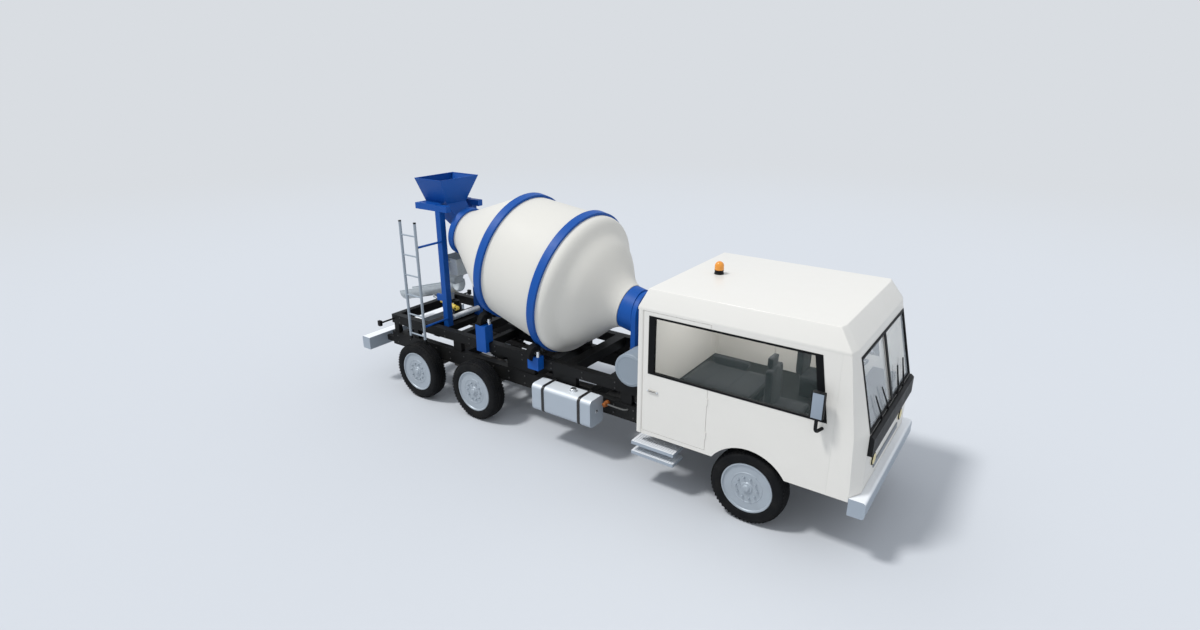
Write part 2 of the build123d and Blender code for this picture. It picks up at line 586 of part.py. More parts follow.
def drum_profile(inset):
    """Drum's outline from its front end to its mouth, moved inwards by the inset."""
    with BuildLine() as outline:
        start = (FACE["s"] + inset, FACE["r"] - inset)
        front = (-160, barrel_r(-160) - inset)
        end = (MOUTH["s"] + (1 if inset else 0), MOUTH["r"] - inset)
        Spline(start, (-880, 500 - inset), (-560, 865 - inset), (-400, 1008 - inset), front,
               tangents=((1, 0.35), (1, barrel_slope)))
        Polyline(front, (CONE[0], barrel_r(CONE[0]) - inset), (CONE[1], MOUTH["r"] - inset), end)
        Polyline(end, (end[0], 0), (start[0], 0), start)
    return outline.line


with BuildPart() as drum:
    with BuildSketch(meridian) as solid_drum:
        add(drum_profile(0))
        make_face()
    revolve(axis=drum_axis)
    with BuildSketch(meridian):
        add(drum_profile(SHELL))
        make_face()
    revolve(axis=drum_axis, mode=Mode.SUBTRACT)
write(drum, "drum")

with BuildPart() as rings:
    for back, radius in RINGS.values():
        with BuildSketch(meridian):
            with BuildLine():
                Polyline(
                    (back - RING_WIDTH, barrel_r(back - RING_WIDTH) + SEAT), (back, barrel_r(back) + SEAT),
                    (back, radius), (back - RING_WIDTH, radius), close=True,
                )
            make_face()
        revolve(axis=drum_axis)
    with BuildSketch(meridian):
        with BuildLine():
            s, r = MOUTH["s"], MOUTH["r"] + SEAT
            Polyline((s - MOUTH["width"], r), (s, r), (s, MOUTH["ring"]), (s - MOUTH["width"], MOUTH["ring"]),
                     close=True)
        make_face()
    revolve(axis=drum_axis)
write(rings, "drum_rings")

# two flights wound inside the shell, each lofted through sections set on planes that hold the axis
FLIGHT = {"s": (-100, CONE[1] - 20), "turns": 2.25, "steps": 24, "thick": 8, "depth": 0.24}


def wall_r(s):
    """Inner radius of the shell at a place along the axis."""
    return (barrel_r(s) if s < CONE[0] else cone_r(s)) - SHELL - SEAT


with BuildPart() as blades:
    for start_angle in (0, 180):
        count = round(FLIGHT["turns"] * FLIGHT["steps"])
        for n in range(count + 1):
            s = FLIGHT["s"][0] + (FLIGHT["s"][1] - FLIGHT["s"][0]) * n / count
            near, far = s - FLIGHT["thick"] / 2, s + FLIGHT["thick"] / 2
            across = Vector(0, 1, 0).rotate(Axis((0, 0, 0), axis_dir), start_angle + 360 * n / FLIGHT["steps"])
            with BuildSketch(Plane(origin=DRUM_AT, x_dir=axis_dir, z_dir=across)):
                with BuildLine():
                    Polyline((near, wall_r(near)), (far, wall_r(far)), (far, wall_r(far) * (1 - FLIGHT["depth"])),
                             (near, wall_r(near) * (1 - FLIGHT["depth"])), close=True)
                make_face()
        loft(ruled=True)
write(blades, "mixing_blades")

# ---------------------------------------------------------------- drum drive and water tank
PEDESTAL = {"x": (-2390, -2310), "y": 350, "base": SUB_Z[1]}
DRIVE_R = 354
DRIVE_S = -1097            # drive's end at the drum, along the axis
NECK_R = 190
MOTOR_R = 130
MOTOR_X = -2130


def along(x):
    """Place along the drum's axis of the point of the axis above a place ahead of the front axle."""
    return (DRUM_AT.X - ahead(x)) / cos(TILT)


def axis_point(s, down=0, aside=0):
    """Point at a place along the drum's axis, a distance below it and one to the left of it."""
    return DRUM_AT + axis_dir * s - Vector(sin(TILT), 0, cos(TILT)) * down + Vector(0, aside, 0)


pedestal_top = axis_point(along(sum(PEDESTAL["x"]) / 2))
with BuildPart() as pedestal:
    with BuildSketch(Plane.YZ.offset(ahead(PEDESTAL["x"][0]))):
        with Locations((0, (PEDESTAL["base"] + pedestal_top.Z) / 2)):
            Rectangle(2 * PEDESTAL["y"], pedestal_top.Z - PEDESTAL["base"])
        with Locations((0, pedestal_top.Z)):
            Circle(PEDESTAL["y"])
    extrude(amount=PEDESTAL["x"][1] - PEDESTAL["x"][0])
    with BuildSketch(Plane(origin=axis_point(DRIVE_S), z_dir=axis_dir * -1)):
        Circle(NECK_R + SEAT)
    extrude(amount=800, mode=Mode.SUBTRACT)

with BuildPart() as drive:
    with BuildSketch(Plane(origin=axis_point(DRIVE_S - GAP), z_dir=axis_dir * -1)):
        Circle(DRIVE_R)
    extrude(amount=400)
    split(bisect_by=Plane.YZ.offset(ahead(PEDESTAL["x"][0])), keep=Keep.BOTTOM)
    with BuildSketch(Plane(origin=axis_point(DRIVE_S - GAP), z_dir=axis_dir * -1)):
        Circle(NECK_R)
    extrude(amount=460)
    with BuildSketch(Plane(origin=axis_point(DRIVE_S - GAP), z_dir=axis_dir * -1)):
        Circle(MOTOR_R)
    extrude(amount=620)
    with BuildSketch(Plane(origin=axis_point(DRIVE_S - GAP), z_dir=axis_dir)):
        Circle(60)
    extrude(amount=GAP + FACE["s"] - DRIVE_S - SEAT)
write(drive, "drum_drive")

WATER = {"x": -2040, "r": 260, "y": 930}
with BuildPart() as water_tank:
    with BuildSketch(Plane.XZ.offset(-WATER["y"])):
        with Locations((ahead(WATER["x"]), SUB_Z[1] + WATER["r"])):
            Circle(WATER["r"])
    extrude(amount=2 * WATER["y"])
    fillet(water_tank.edges().filter_by(GeomType.CIRCLE), 25)
    blocks((ahead(WATER["x"] - 150), ahead(WATER["x"] + 150)), RAIL_Y, (SUB_Z[1], SUB_Z[1] + 60))
write(water_tank, "water_tank")

# ---------------------------------------------------------------- rollers and their stands
ROLLER_R = 140
ROLLER_WIDTH = 90
PIN_R = 24
STAND = {"long": 225, "out": RAIL_Y[1] + 80, "base": SUB_Z[0], "forward": 24, "below": 70}
BEARING = {"forward": 100, "r": 32}                     # upright that carries the pin on the stand
# ring, roller's distance from the middle of the truck
ROLLERS = (("front", 950), ("rear", 790))


def roller_at(name, aside):
    """Middle of a roller that runs under a ring."""
    back, ring_r = RINGS[name]
    return axis_point(back - RING_WIDTH / 2 + 20, sqrt((ring_r + GAP + ROLLER_R) ** 2 - aside ** 2), aside)


with BuildPart() as supports:
    add(pedestal.part)
    for name, distance in ROLLERS:
        out = max(STAND["out"], distance + BEARING["r"] + 10)
        for _, side in SIDES:
            at = roller_at(name, side * distance)
            middle = at.X + STAND["forward"]
            x = (middle - STAND["long"] / 2, middle + STAND["long"] / 2)
            top = at.Z - STAND["below"]
            block(x, (side * RAIL_Y[1], side * out), (STAND["base"], top))
            if distance - BEARING["r"] < RAIL_Y[1]:
                block(x, (side * (distance - BEARING["r"] - 10), side * out), (SUB_Z[1], top))
            with BuildSketch(Plane(origin=at + axis_dir * 400, z_dir=axis_dir * -1)):
                Circle(ROLLER_R + 3 * GAP)
            extrude(amount=400 + ROLLER_WIDTH / 2 + GAP, mode=Mode.SUBTRACT)
write(supports, "drum_supports")

with BuildPart() as pins:
    for name, distance in ROLLERS:
        for _, side in SIDES:
            at = roller_at(name, side * distance)
            with BuildSketch(Plane(origin=at + axis_dir * (ROLLER_WIDTH / 2 + GAP), z_dir=axis_dir * -1)):
                Circle(PIN_R)
            extrude(amount=ROLLER_WIDTH / 2 + GAP + BEARING["forward"])
            low, high = at.Z - STAND["below"] + SEAT, at.Z + BEARING["r"]
            with Locations((at.X + BEARING["forward"], at.Y, (low + high) / 2)):
                Cylinder(BEARING["r"], high - low)
write(pins, "roller_pins")

for name, distance in ROLLERS:
    for hand, side in SIDES:
        at = roller_at(name, side * distance)
        with BuildPart() as roller:
            with BuildSketch(Plane(origin=at - axis_dir * ROLLER_WIDTH / 2, z_dir=axis_dir)):
                Circle(ROLLER_R)
                Circle(PIN_R + SEAT, mode=Mode.SUBTRACT)
            extrude(amount=ROLLER_WIDTH)
        write(roller, f"roller_{name}_{hand}")

# ---------------------------------------------------------------- hopper, its frame and the ladder
POST = {"x": -6440, "y": 400, "size": 120}
TOP_BAR = {"x": (-7020, -6215), "z": (3395, 3505), "size": 110}
STUB = {"x": (-6640, -6500), "y": (-POST["y"] - 60, -POST["y"] - 10), "z": (1700, 1820)}
TUBE = {"x": -6385, "z": 1360, "r": 52}
LADDER_RISE = 16           # ladder's foot, above the top of the rear tyre
LADDER = {"x": (-6780, -6395), "y": 1030, "z": (AXLE_Z + TYRE_R + LADDER_RISE, 3300), "r": 25}
RUNGS = (LADDER["z"][0] + 110, 1565, 1940, 2315, 2688, 3052)
STAY_R = 20
STAY_Z = (SUB_Z[1] + STAY_R + 2, 2855)
half = POST["size"] / 2
with BuildPart() as hopper_frame:
    blocks((ahead(POST["x"] - half), ahead(POST["x"] + half)), (POST["y"] - half, POST["y"] + half),
           (POST_BASE, TOP_BAR["z"][0]))
    blocks((ahead(TOP_BAR["x"][0]), ahead(TOP_BAR["x"][1])),
           (POST["y"] - TOP_BAR["size"] / 2, POST["y"] + TOP_BAR["size"] / 2), TOP_BAR["z"])
    block((ahead(TOP_BAR["x"][0]), ahead(TOP_BAR["x"][0] + 50)), (-POST["y"], POST["y"]), TOP_BAR["z"])
    block((ahead(STUB["x"][0]), ahead(STUB["x"][1])), STUB["y"], STUB["z"])
    for height in STAY_Z:
        with BuildSketch(Plane.XZ.offset(LADDER["y"] - LADDER["r"] - SEAT / 3)):
            with Locations((ahead(LADDER["x"][1]), height)):
                Circle(STAY_R)
        extrude(amount=-(LADDER["y"] - LADDER["r"] - POST["y"] - half + 30))
write(hopper_frame, "hopper_frame")

with BuildPart() as cross_tube:
    with BuildSketch(Plane.XZ.offset(-POST["y"] + half)):
        with Locations((ahead(TUBE["x"]), TUBE["z"])):
            Circle(TUBE["r"])
    extrude(amount=2 * (POST["y"] - half))
write(cross_tube, "cross_tube")

with BuildPart() as ladder:
    for place in LADDER["x"]:
        with Locations((ahead(place), -LADDER["y"], sum(LADDER["z"]) / 2)):
            Cylinder(LADDER["r"], LADDER["z"][1] - LADDER["z"][0])
    for height in RUNGS:
        with BuildSketch(Plane.YZ.offset(ahead(LADDER["x"][0]))):
            with Locations((-LADDER["y"], height)):
                Circle(14)
        extrude(amount=LADDER["x"][1] - LADDER["x"][0])
write(ladder, "ladder")

PLATE = 8
# columns: height, back, front, half width
HOPPER = ((3955, -6970, -6290, 465), (3500, -6960, -6420, 240), (3120, -6470, -6100, 150))


def box_outline(row, inset):
    _, back, front, side_y = row
    return [(ahead(back + inset), -side_y + inset), (ahead(front - inset), -side_y + inset),
            (ahead(front - inset), side_y - inset), (ahead(back + inset), side_y - inset)]


with BuildPart() as hopper:
    for inset, mode in ((0, Mode.ADD), (PLATE, Mode.SUBTRACT)):
        for upper, lower in zip(HOPPER, HOPPER[1:]):
            for row in (upper, lower):
                with BuildSketch(Plane.XY.offset(row[0])):
                    with BuildLine():
                        Polyline(*box_outline(row, inset), close=True)
                    make_face()
            loft(ruled=True, mode=mode)
    ledge = (TOP_BAR["z"][1], TOP_BAR["z"][1] + PLATE)
    for _, side in SIDES:
        block((ahead(-6900), ahead(-6500)), (side * (HOPPER[1][3] - 2), side * (POST["y"] + 55)), ledge)
write(hopper, "hopper")

lip = axis_point(MOUTH["s"], MOUTH["ring"])      # lowest point of the drum's mouth
lip_x = lip.X - FRONT_AXLE
# the same columns, from under the lip down to the outlet above the chute's column
FUNNEL = (
    (lip.Z - 65, lip_x - 350, lip_x + 90, 300),
    (lip.Z - 380, lip_x - 390, lip_x + 75, 260),
    (2070, SWIVEL_X - 130, SWIVEL_X + 120, 125),
    (1935, SWIVEL_X - 100, SWIVEL_X + 100, 90),
)
with BuildPart() as funnel:
    for inset, mode in ((0, Mode.ADD), (PLATE, Mode.SUBTRACT)):
        for upper, lower in zip(FUNNEL, FUNNEL[1:]):
            for row in (upper, lower):
                with BuildSketch(Plane.XY.offset(row[0])):
                    with BuildLine():
                        Polyline(*box_outline(row, inset), close=True)
                    make_face()
            loft(ruled=True, mode=mode)
    blocks((ahead(POST["x"] - half), ahead(POST["x"] + half)), (FUNNEL[0][3] - PLATE, POST["y"] - half),
           (FUNNEL[0][0] - 80, FUNNEL[0][0] - 40))
write(funnel, "discharge_funnel")

# ---------------------------------------------------------------- chute
CHUTE_TOP = (-6520, 1936)          # start and end of the trough's centre line
CHUTE_END = (-8086, 1486)
CHUTE_R = 165
CHUTE_WALL = 50                    # straight wall above the round bottom
HINGE = (-6740, 1600)              # pin between the swivel and the trough
HINGE_PIN = 15
EAR_Y = (45, 60)                   # swivel's ears
LUG_Y = 40                         # trough's lug between them
FOOT = (-6490, 1465)               # cylinder's foot
EYE = (-7100, 1596)                # rod's eye
CYLINDER_Y = 125
BARREL_R = 48
ROD_R = 22
EYE_PIN = 12
SLEEVE_R = 58
SLEEVE_Z = (COLUMN_Z[0] + 105, COLUMN_Z[1] + 20)
EAR_TOP = SLEEVE_Z[1] + 15

with BuildPart() as swivel:
    with Locations((ahead(SWIVEL_X), 0, sum(SLEEVE_Z) / 2)):
        Cylinder(SLEEVE_R, SLEEVE_Z[1] - SLEEVE_Z[0])
    block((ahead(HINGE[0] - 30), ahead(SWIVEL_X)), (-EAR_Y[1], EAR_Y[1]), (SLEEVE_Z[1] - 15, SLEEVE_Z[1]))
    blocks((ahead(HINGE[0] - 30), ahead(HINGE[0] + 30)), EAR_Y, (SLEEVE_Z[1], HINGE[1] + 25))
    with BuildSketch(Plane.XZ.offset(-EAR_Y[1])):
        with Locations((ahead(HINGE[0]), HINGE[1])):
            Circle(HINGE_PIN)
    extrude(amount=2 * EAR_Y[1])
    block((ahead(SWIVEL_X), ahead(FOOT[0] + 30)), (-SLEEVE_R + 5, -SLEEVE_R + 25), (FOOT[1] - 38, FOOT[1] + 38))
    with BuildSketch(Plane.XZ.offset(SLEEVE_R - 20)):
        with Locations((ahead(FOOT[0]), FOOT[1])):
            Circle(HINGE_PIN)
    extrude(amount=CYLINDER_Y - SLEEVE_R + 20 + BARREL_R)
    with Locations((ahead(SWIVEL_X), 0, COLUMN_Z[1] - 150)):
        Cylinder(COLUMN_R + SEAT, 300, mode=Mode.SUBTRACT)
write(swivel, "chute_swivel")

chute_run = Vector(CHUTE_END[0] - CHUTE_TOP[0], 0, CHUTE_END[1] - CHUTE_TOP[1])
chute_plane = Plane(origin=(ahead(CHUTE_TOP[0]), 0, CHUTE_TOP[1]), z_dir=chute_run, x_dir=(0, 1, 0))
with BuildPart() as chute:
    for radius, wall, mode in ((CHUTE_R, CHUTE_WALL, Mode.ADD), (CHUTE_R - PLATE, CHUTE_WALL + 50, Mode.SUBTRACT)):
        with BuildSketch(chute_plane):
            with BuildLine():
                Polyline((-radius, 0), (-radius, -wall), (radius, -wall), (radius, 0))
                ThreePointArc((-radius, 0), (0, radius), (radius, 0))
            make_face()
        extrude(amount=chute_run.length, mode=mode)
        if mode == Mode.ADD:
            block((ahead(HINGE[0] - 25), ahead(HINGE[0] + 25)), (-LUG_Y, LUG_Y), (HINGE[1] - 25, HINGE[1] + 150))
            block((ahead(EYE[0] - 25), ahead(EYE[0] + 25)), (-CYLINDER_Y + 25, -CYLINDER_Y + 40),
                  (EYE[1] - 25, EYE[1] + 120))
    for place, height, near, far in ((HINGE[0], HINGE[1], LUG_Y, -LUG_Y),):
        with BuildSketch(Plane.XZ.offset(near)):
            with Locations((ahead(place), height)):
                Circle(HINGE_PIN + SEAT)
        extrude(amount=far - near, mode=Mode.SUBTRACT)
    with BuildSketch(Plane.XZ.offset(CYLINDER_Y - 40)):
        with Locations((ahead(EYE[0]), EYE[1])):
            Circle(EYE_PIN)
    extrude(amount=65)
write(chute, "chute")

lift = Vector(EYE[0] - FOOT[0], 0, EYE[1] - FOOT[1])
lift_dir = lift.normalized()
foot_at = Vector(ahead(FOOT[0]), -CYLINDER_Y, FOOT[1])
BARREL_LONG = 0.66 * lift.length
with BuildPart() as barrel:
    with BuildSketch(Plane(origin=foot_at + lift_dir * 32, z_dir=lift_dir)):
        Circle(BARREL_R)
    extrude(amount=BARREL_LONG - 32)
    with BuildSketch(Plane(origin=foot_at + lift_dir * 90, z_dir=lift_dir)):
        Circle(ROD_R + SEAT)
    extrude(amount=BARREL_LONG, mode=Mode.SUBTRACT)
    with BuildSketch(Plane.XZ.offset(CYLINDER_Y - 35)):
        with Locations((ahead(FOOT[0]), FOOT[1])):
            Circle(38)
            Circle(HINGE_PIN + SEAT, mode=Mode.SUBTRACT)
    extrude(amount=70)
write(barrel, "chute_cylinder")

with BuildPart() as rod:
    with BuildSketch(Plane(origin=foot_at + lift_dir * 160, z_dir=lift_dir)):
        Circle(ROD_R)
    extrude(amount=lift.length - 160 - 24)
    with BuildSketch(Plane.XZ.offset(CYLINDER_Y - 14)):
        with Locations((ahead(EYE[0]), EYE[1])):
            Circle(34)
            Circle(EYE_PIN + 8, mode=Mode.SUBTRACT)
    extrude(amount=28)
write(rod, "chute_rod")
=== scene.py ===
import math

import bmesh
import bpy
from mathutils import Matrix, Vector

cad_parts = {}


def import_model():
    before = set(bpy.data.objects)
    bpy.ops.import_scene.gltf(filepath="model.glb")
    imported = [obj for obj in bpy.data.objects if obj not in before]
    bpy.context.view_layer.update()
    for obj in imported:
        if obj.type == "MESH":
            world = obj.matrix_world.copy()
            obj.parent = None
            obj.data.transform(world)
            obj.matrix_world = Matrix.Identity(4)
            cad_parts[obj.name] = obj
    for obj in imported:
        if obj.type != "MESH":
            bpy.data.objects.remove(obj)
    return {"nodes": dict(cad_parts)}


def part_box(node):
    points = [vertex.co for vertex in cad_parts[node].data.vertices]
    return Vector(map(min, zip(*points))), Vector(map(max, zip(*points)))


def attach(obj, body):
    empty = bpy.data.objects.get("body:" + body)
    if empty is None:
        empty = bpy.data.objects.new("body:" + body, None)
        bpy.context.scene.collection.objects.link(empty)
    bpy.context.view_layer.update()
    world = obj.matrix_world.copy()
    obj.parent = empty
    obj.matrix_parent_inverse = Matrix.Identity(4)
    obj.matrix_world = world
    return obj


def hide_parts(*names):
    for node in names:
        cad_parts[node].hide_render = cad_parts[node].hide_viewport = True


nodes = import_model()["nodes"]
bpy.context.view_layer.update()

# ------------------------------------------------------------------ ladder frames
# Two frames of pressed steel channel, one on the other: the truck's own and the one that carries the
# mixer. Both are welded, primed and sprayed with a thick chassis enamel, and bolted along the webs.


def linear(code):
    """Linear colour of an sRGB hex value."""
    parts = [int(code[i:i + 2], 16) / 255 for i in (0, 2, 4)]
    return tuple(c / 12.92 if c <= 0.04045 else ((c + 0.055) / 1.055) ** 2.4 for c in parts) + (1,)


def wire(node, sockets):
    """Sets a node's inputs, or links them to a socket or to the first output in use of another node."""
    for key, value in sockets.items():
        if isinstance(value, bpy.types.Node):
            value = next(s for s in value.outputs if s.enabled)
        if isinstance(value, bpy.types.NodeSocket):
            node.id_data.links.new(value, node.inputs[key])
        else:
            node.inputs[key].default_value = value


def put(tree, kind, sockets=None, **settings):
    """Adds a node with its settings, and sets or links its inputs; a kind without "Node" is a shader node."""
    made = tree.nodes.new(kind if "Node" in kind else "ShaderNode" + kind)
    for key, value in settings.items():
        setattr(made, key, value)
    wire(made, sockets or {})
    return made


def finish_of(name, code, rough, metallic=0.0, **sockets):
    """A material with its colour, its finish and Object coordinates ready to use."""
    made = bpy.data.materials.new(name)
    made.use_nodes = True
    tree = made.node_tree
    shader = tree.nodes["Principled BSDF"]
    sockets.update(Base_Color=linear(code), Roughness=rough, Metallic=metallic)
    wire(shader, {key.replace("_", " "): value for key, value in sockets.items()})
    return made, tree, shader, put(tree, "TexCoord").outputs["Object"]


def sprayed(name, code, rough, soil="7d766b", soiled=0.25, peel=0.12, coat=0.0, shine=0.5, metallic=0.0):
    """Sprayed enamel: orange peel of about 4 mm, faint clouding, and road dust that thins out upwards."""
    made, tree, shader, place = finish_of(name, code, rough, metallic, Coat_Weight=coat, Coat_Roughness=0.12,
                                          Specular_IOR_Level=shine)
    cloud = put(tree, "TexNoise", {"Vector": place, "Scale": 2.3, "Detail": 6.0, "Roughness": 0.62})
    dimples = put(tree, "TexNoise", {"Vector": place, "Scale": 240.0, "Detail": 2.0})
    height = put(tree, "SeparateXYZ", {"Vector": place}).outputs["Z"]
    low = put(tree, "MapRange", {"Value": height, 1: 0.3, 2: 1.5, 3: soiled, 4: soiled * 0.12})
    patch = put(tree, "MapRange", {"Value": cloud, 1: 0.35, 2: 0.75, 3: 0.15, 4: 1.0})
    amount = put(tree, "Math", {0: low, 1: patch}, operation="MULTIPLY")
    colour = put(tree, "Mix", {0: amount, 6: linear(code), 7: linear(soil)}, data_type="RGBA")
    sheen = put(tree, "MapRange", {"Value": cloud, 1: 0.3, 2: 0.7, 3: rough - 0.05, 4: rough + 0.1})
    bump = put(tree, "Bump", {"Strength": peel, "Distance": 0.002, "Height": dimples})
    wire(shader, {"Base Color": colour, "Roughness": sheen, "Normal": bump})
    return made


def dress(material, *names):
    """Gives CAD pieces their material."""
    for name in names:
        nodes[name].data.materials.clear()
        nodes[name].data.materials.append(material)


def placed(name, bm):
    """Object of the scene made from a mesh, its faces turned outwards."""
    bmesh.ops.recalc_face_normals(bm, faces=bm.faces)
    made = bpy.data.objects.new(name, bpy.data.meshes.new(name))
    bm.to_mesh(made.data)
    bm.free()
    bpy.context.scene.collection.objects.link(made)
    return made


def baked(piece):
    """Turns a piece with modifiers into a plain mesh."""
    graph = bpy.context.evaluated_depsgraph_get()
    made = bpy.data.meshes.new_from_object(piece.evaluated_get(graph))
    piece.modifiers.clear()
    piece.data = made
    return made


def repeat_tree(ring):
    """Geometry nodes that set an item along a line, or round a ring in the XY plane."""
    tree = bpy.data.node_groups.new("ring_of_items" if ring else "row_of_items", "GeometryNodeTree")
    spacing = ("Radius", "Float") if ring else ("Step", "Vector")
    for name, kind in (("Geometry", "Geometry"), ("Item", "Object"), ("Count", "Int"), spacing, ("Finish", "Material")):
        tree.interface.new_socket(name, in_out="INPUT", socket_type="NodeSocket" + kind)
    tree.interface.new_socket("Geometry", in_out="OUTPUT", socket_type="NodeSocketGeometry")
    given = put(tree, "NodeGroupInput").outputs
    item = put(tree, "GeometryNodeObjectInfo", {"Object": given["Item"]}).outputs["Geometry"]
    if ring:
        points = put(tree, "GeometryNodeMeshCircle", {"Vertices": given["Count"], "Radius": given["Radius"]})
        share = put(tree, "Math", {0: math.tau, 1: given["Count"]}, operation="DIVIDE")
        angle = put(tree, "Math", {0: put(tree, "GeometryNodeInputIndex"), 1: share}, operation="MULTIPLY")
        turn = put(tree, "FunctionNodeEulerToRotation", {0: put(tree, "CombineXYZ", {"Z": angle})})
        spread = put(tree, "GeometryNodeInstanceOnPoints", {"Points": points, "Instance": item, "Rotation": turn})
    else:
        points = put(tree, "GeometryNodeMeshLine", {"Count": given["Count"], "Offset": given["Step"]})
        spread = put(tree, "GeometryNodeInstanceOnPoints", {"Points": points, "Instance": item})
    real = put(tree, "GeometryNodeRealizeInstances", {0: spread})
    coloured = put(tree, "GeometryNodeSetMaterial", {"Geometry": real, "Material": given["Finish"]})
    put(tree, "NodeGroupOutput", {0: coloured})
    return tree


TREES = {ring: repeat_tree(ring) for ring in (False, True)}


def repeated(name, item, ring, count, spacing, places, material, body="chassis"):
    """Items set by geometry nodes at each of the places, as one plain mesh on one body."""
    source, holder = placed(name + "_item", item), placed(name, bmesh.new())
    use = holder.modifiers.new("spread", "NODES")
    use.node_group = TREES[ring]
    inputs = {s.name: s.identifier for s in TREES[ring].interface.items_tree if s.in_out == "INPUT"}
    given = {"Item": source, "Count": count, "Radius" if ring else "Step": spacing, "Finish": material}
    for key, value in given.items():
        use[inputs[key]] = value
    bpy.context.view_layer.update()
    plain = baked(holder)
    bm = bmesh.new()
    for place in places:
        copy = plain.copy()
        copy.transform(place)
        bm.from_mesh(copy)
        bpy.data.meshes.remove(copy)
    bm.to_mesh(plain)
    bm.free()
    plain.shade_smooth()
    plain.set_sharp_from_angle(angle=math.radians(35))
    bpy.data.objects.remove(source)
    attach(holder, body)


def towards(at, axis):
    """Place of something made round the Z axis, put at a point and turned to an axis."""
    return Matrix.Translation(at) @ Vector(axis).to_track_quat("Z", "Y").to_matrix().to_4x4()


def lathe(bm, outline, at, axis, steps):
    """Turns a closed outline of (along, radius) about an axis through a point."""
    base = towards(at, axis)
    rings = []
    for along, radius in outline:
        if radius < 1e-6:
            rings.append([bm.verts.new(base @ Vector((0, 0, along)))] * steps)
        else:
            rings.append([bm.verts.new(base @ Vector((radius * math.cos(math.tau * i / steps),
                                                      radius * math.sin(math.tau * i / steps), along)))
                          for i in range(steps)])
    for one, two in zip(rings, rings[1:] + rings[:1]):
        for i in range(steps):
            j = (i + 1) % steps
            corners = list(dict.fromkeys((one[i], one[j], two[j], two[i])))
            if len(corners) > 2:
                bm.faces.new(corners)


def hexagon(radius, height, stud=0.0):
    """Hexagonal head or nut with its stud, standing on the XY plane."""
    bm = bmesh.new()
    lathe(bm, [(0, 0), (0, radius), (height * 0.8, radius), (height, radius * 0.86), (height, 0)],
          (0, 0, 0), (0, 0, 1), 6)
    if stud:
        lathe(bm, [(height, 0), (height, radius * 0.5), (height + stud, radius * 0.45), (height + stud, 0)],
              (0, 0, 0), (0, 0, 1), 8)
    return bm


low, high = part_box("tyre_front_left")
AXLE_X = (low.x + high.x) / 2


def ahead(distance):
    """Place on X of a point given by its distance ahead of the front axle."""
    return AXLE_X + distance


# satin chassis black: a thick film over welded steel, dust in the corners, no mirror reflections
chassis_black = sprayed("chassis_black_enamel", "0c0d0e", 0.5, soil="5a554d", soiled=0.12, peel=0.2, shine=0.2)
dress(chassis_black, "main_frame", "mixer_frame", "cab_floor")
# dull dark paint on the bolts, paler than the webs, so each head shows
bolt_black = sprayed("bolt_black_paint", "2b2c2e", 0.42, soiled=0.4)

SIDES = (("left", 1), ("right", -1))
web, top_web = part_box("main_frame")[1].y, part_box("mixer_frame")[1].y
for name, head, count, step, start, y, heights in (
        ("frame_bolts", (0.014, 0.011), 16, 0.36, -7.4, web, (0.80, 0.93)),
        ("mixer_frame_bolts", (0.013, 0.01), 9, 0.62, -7.3, top_web, (1.22, 1.31))):
    repeated(name, hexagon(*head), False, count, Vector((step, 0, 0)),
             [Matrix.Translation((ahead(start), side * y, z)) @ Matrix.Rotation(-side * math.pi / 2, 4, "X")
              for _, side in SIDES for z in heights], bolt_black)

# ------------------------------------------------------------------ axles, springs and driveline
# Forged front beam, cast rear casings and rolled spring leaves, all painted with thin black and dull with
# dirt. The leaf packs are stacks of flat bars of falling length, held to the axles by U-bolts.
iron = sprayed("painted_cast_iron", "232425", 0.6, soil="5f574c", soiled=0.6, peel=0.6)
dress(iron, "front_axle", "rear_axles", "propeller_shafts", "knuckle_left", "knuckle_right", "tie_rod", "engine")
spring_black = sprayed("spring_steel_black", "1c1d1f", 0.5, soiled=0.5, peel=0.35)
# zinc plating: grey metal mottled every 15 mm or so, between satin and dull
zinc, tree, shader, place = finish_of("zinc_plated_steel", "b9bdbf", 0.38, 0.9)
mottle = put(tree, "TexNoise", {"Vector": place, "Scale": 60.0, "Detail": 3.0})
wire(shader, {"Roughness": put(tree, "MapRange", {"Value": mottle, 3: 0.28, 4: 0.5})})


def skin(bm, rings):
    """Faces round a row of rings of vertices, closed at both ends."""
    for one, two in zip(rings, rings[1:]):
        for i in range(len(one)):
            j = (i + 1) % len(one)
            bm.faces.new((one[i], one[j], two[j], two[i]))
    bm.faces.new(rings[0])
    bm.faces.new(rings[-1])


SQUARE = ((0, 0), (1, 0), (1, 1), (0, 1))


def slab(bm, x, y, z):
    """Box between two ends on each axis."""
    skin(bm, [[bm.verts.new((x[i], y[j], end)) for i, j in SQUARE] for end in z])


def finished(name, bm, material, body="chassis", bevel=0.0, smooth=40, stands_for=""):
    """Joins a mesh, rounds its edges, gives it its material and hangs it on its body."""
    bmesh.ops.remove_doubles(bm, verts=bm.verts, dist=1e-5)
    piece = placed(name, bm)
    if bevel:
        edge = piece.modifiers.new("edge", "BEVEL")
        edge.width, edge.segments, edge.limit_method, edge.angle_limit = bevel, 2, "ANGLE", math.radians(35)
        baked(piece)
    piece.data.shade_smooth()
    piece.data.set_sharp_from_angle(angle=math.radians(smooth))
    piece.data.materials.clear()
    piece.data.materials.append(material)
    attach(piece, body)
    if stands_for:
        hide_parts(stands_for)


LEAF_THICK, ARC_REACH = 0.0165, 0.78


def leaf(bm, middle, half, y, rise, top):
    """One leaf: a flat bar bent to a shallow arc, its ends higher by the rise when it is positive."""
    rows = []
    for n in range(17):
        x = half * (n / 8 - 1)
        z = top + rise * (x / ARC_REACH) ** 2
        rows.append([bm.verts.new((middle + x, y[i & 1], z - LEAF_THICK * (i >> 1))) for i in (0, 1, 3, 2)])
    skin(bm, rows)


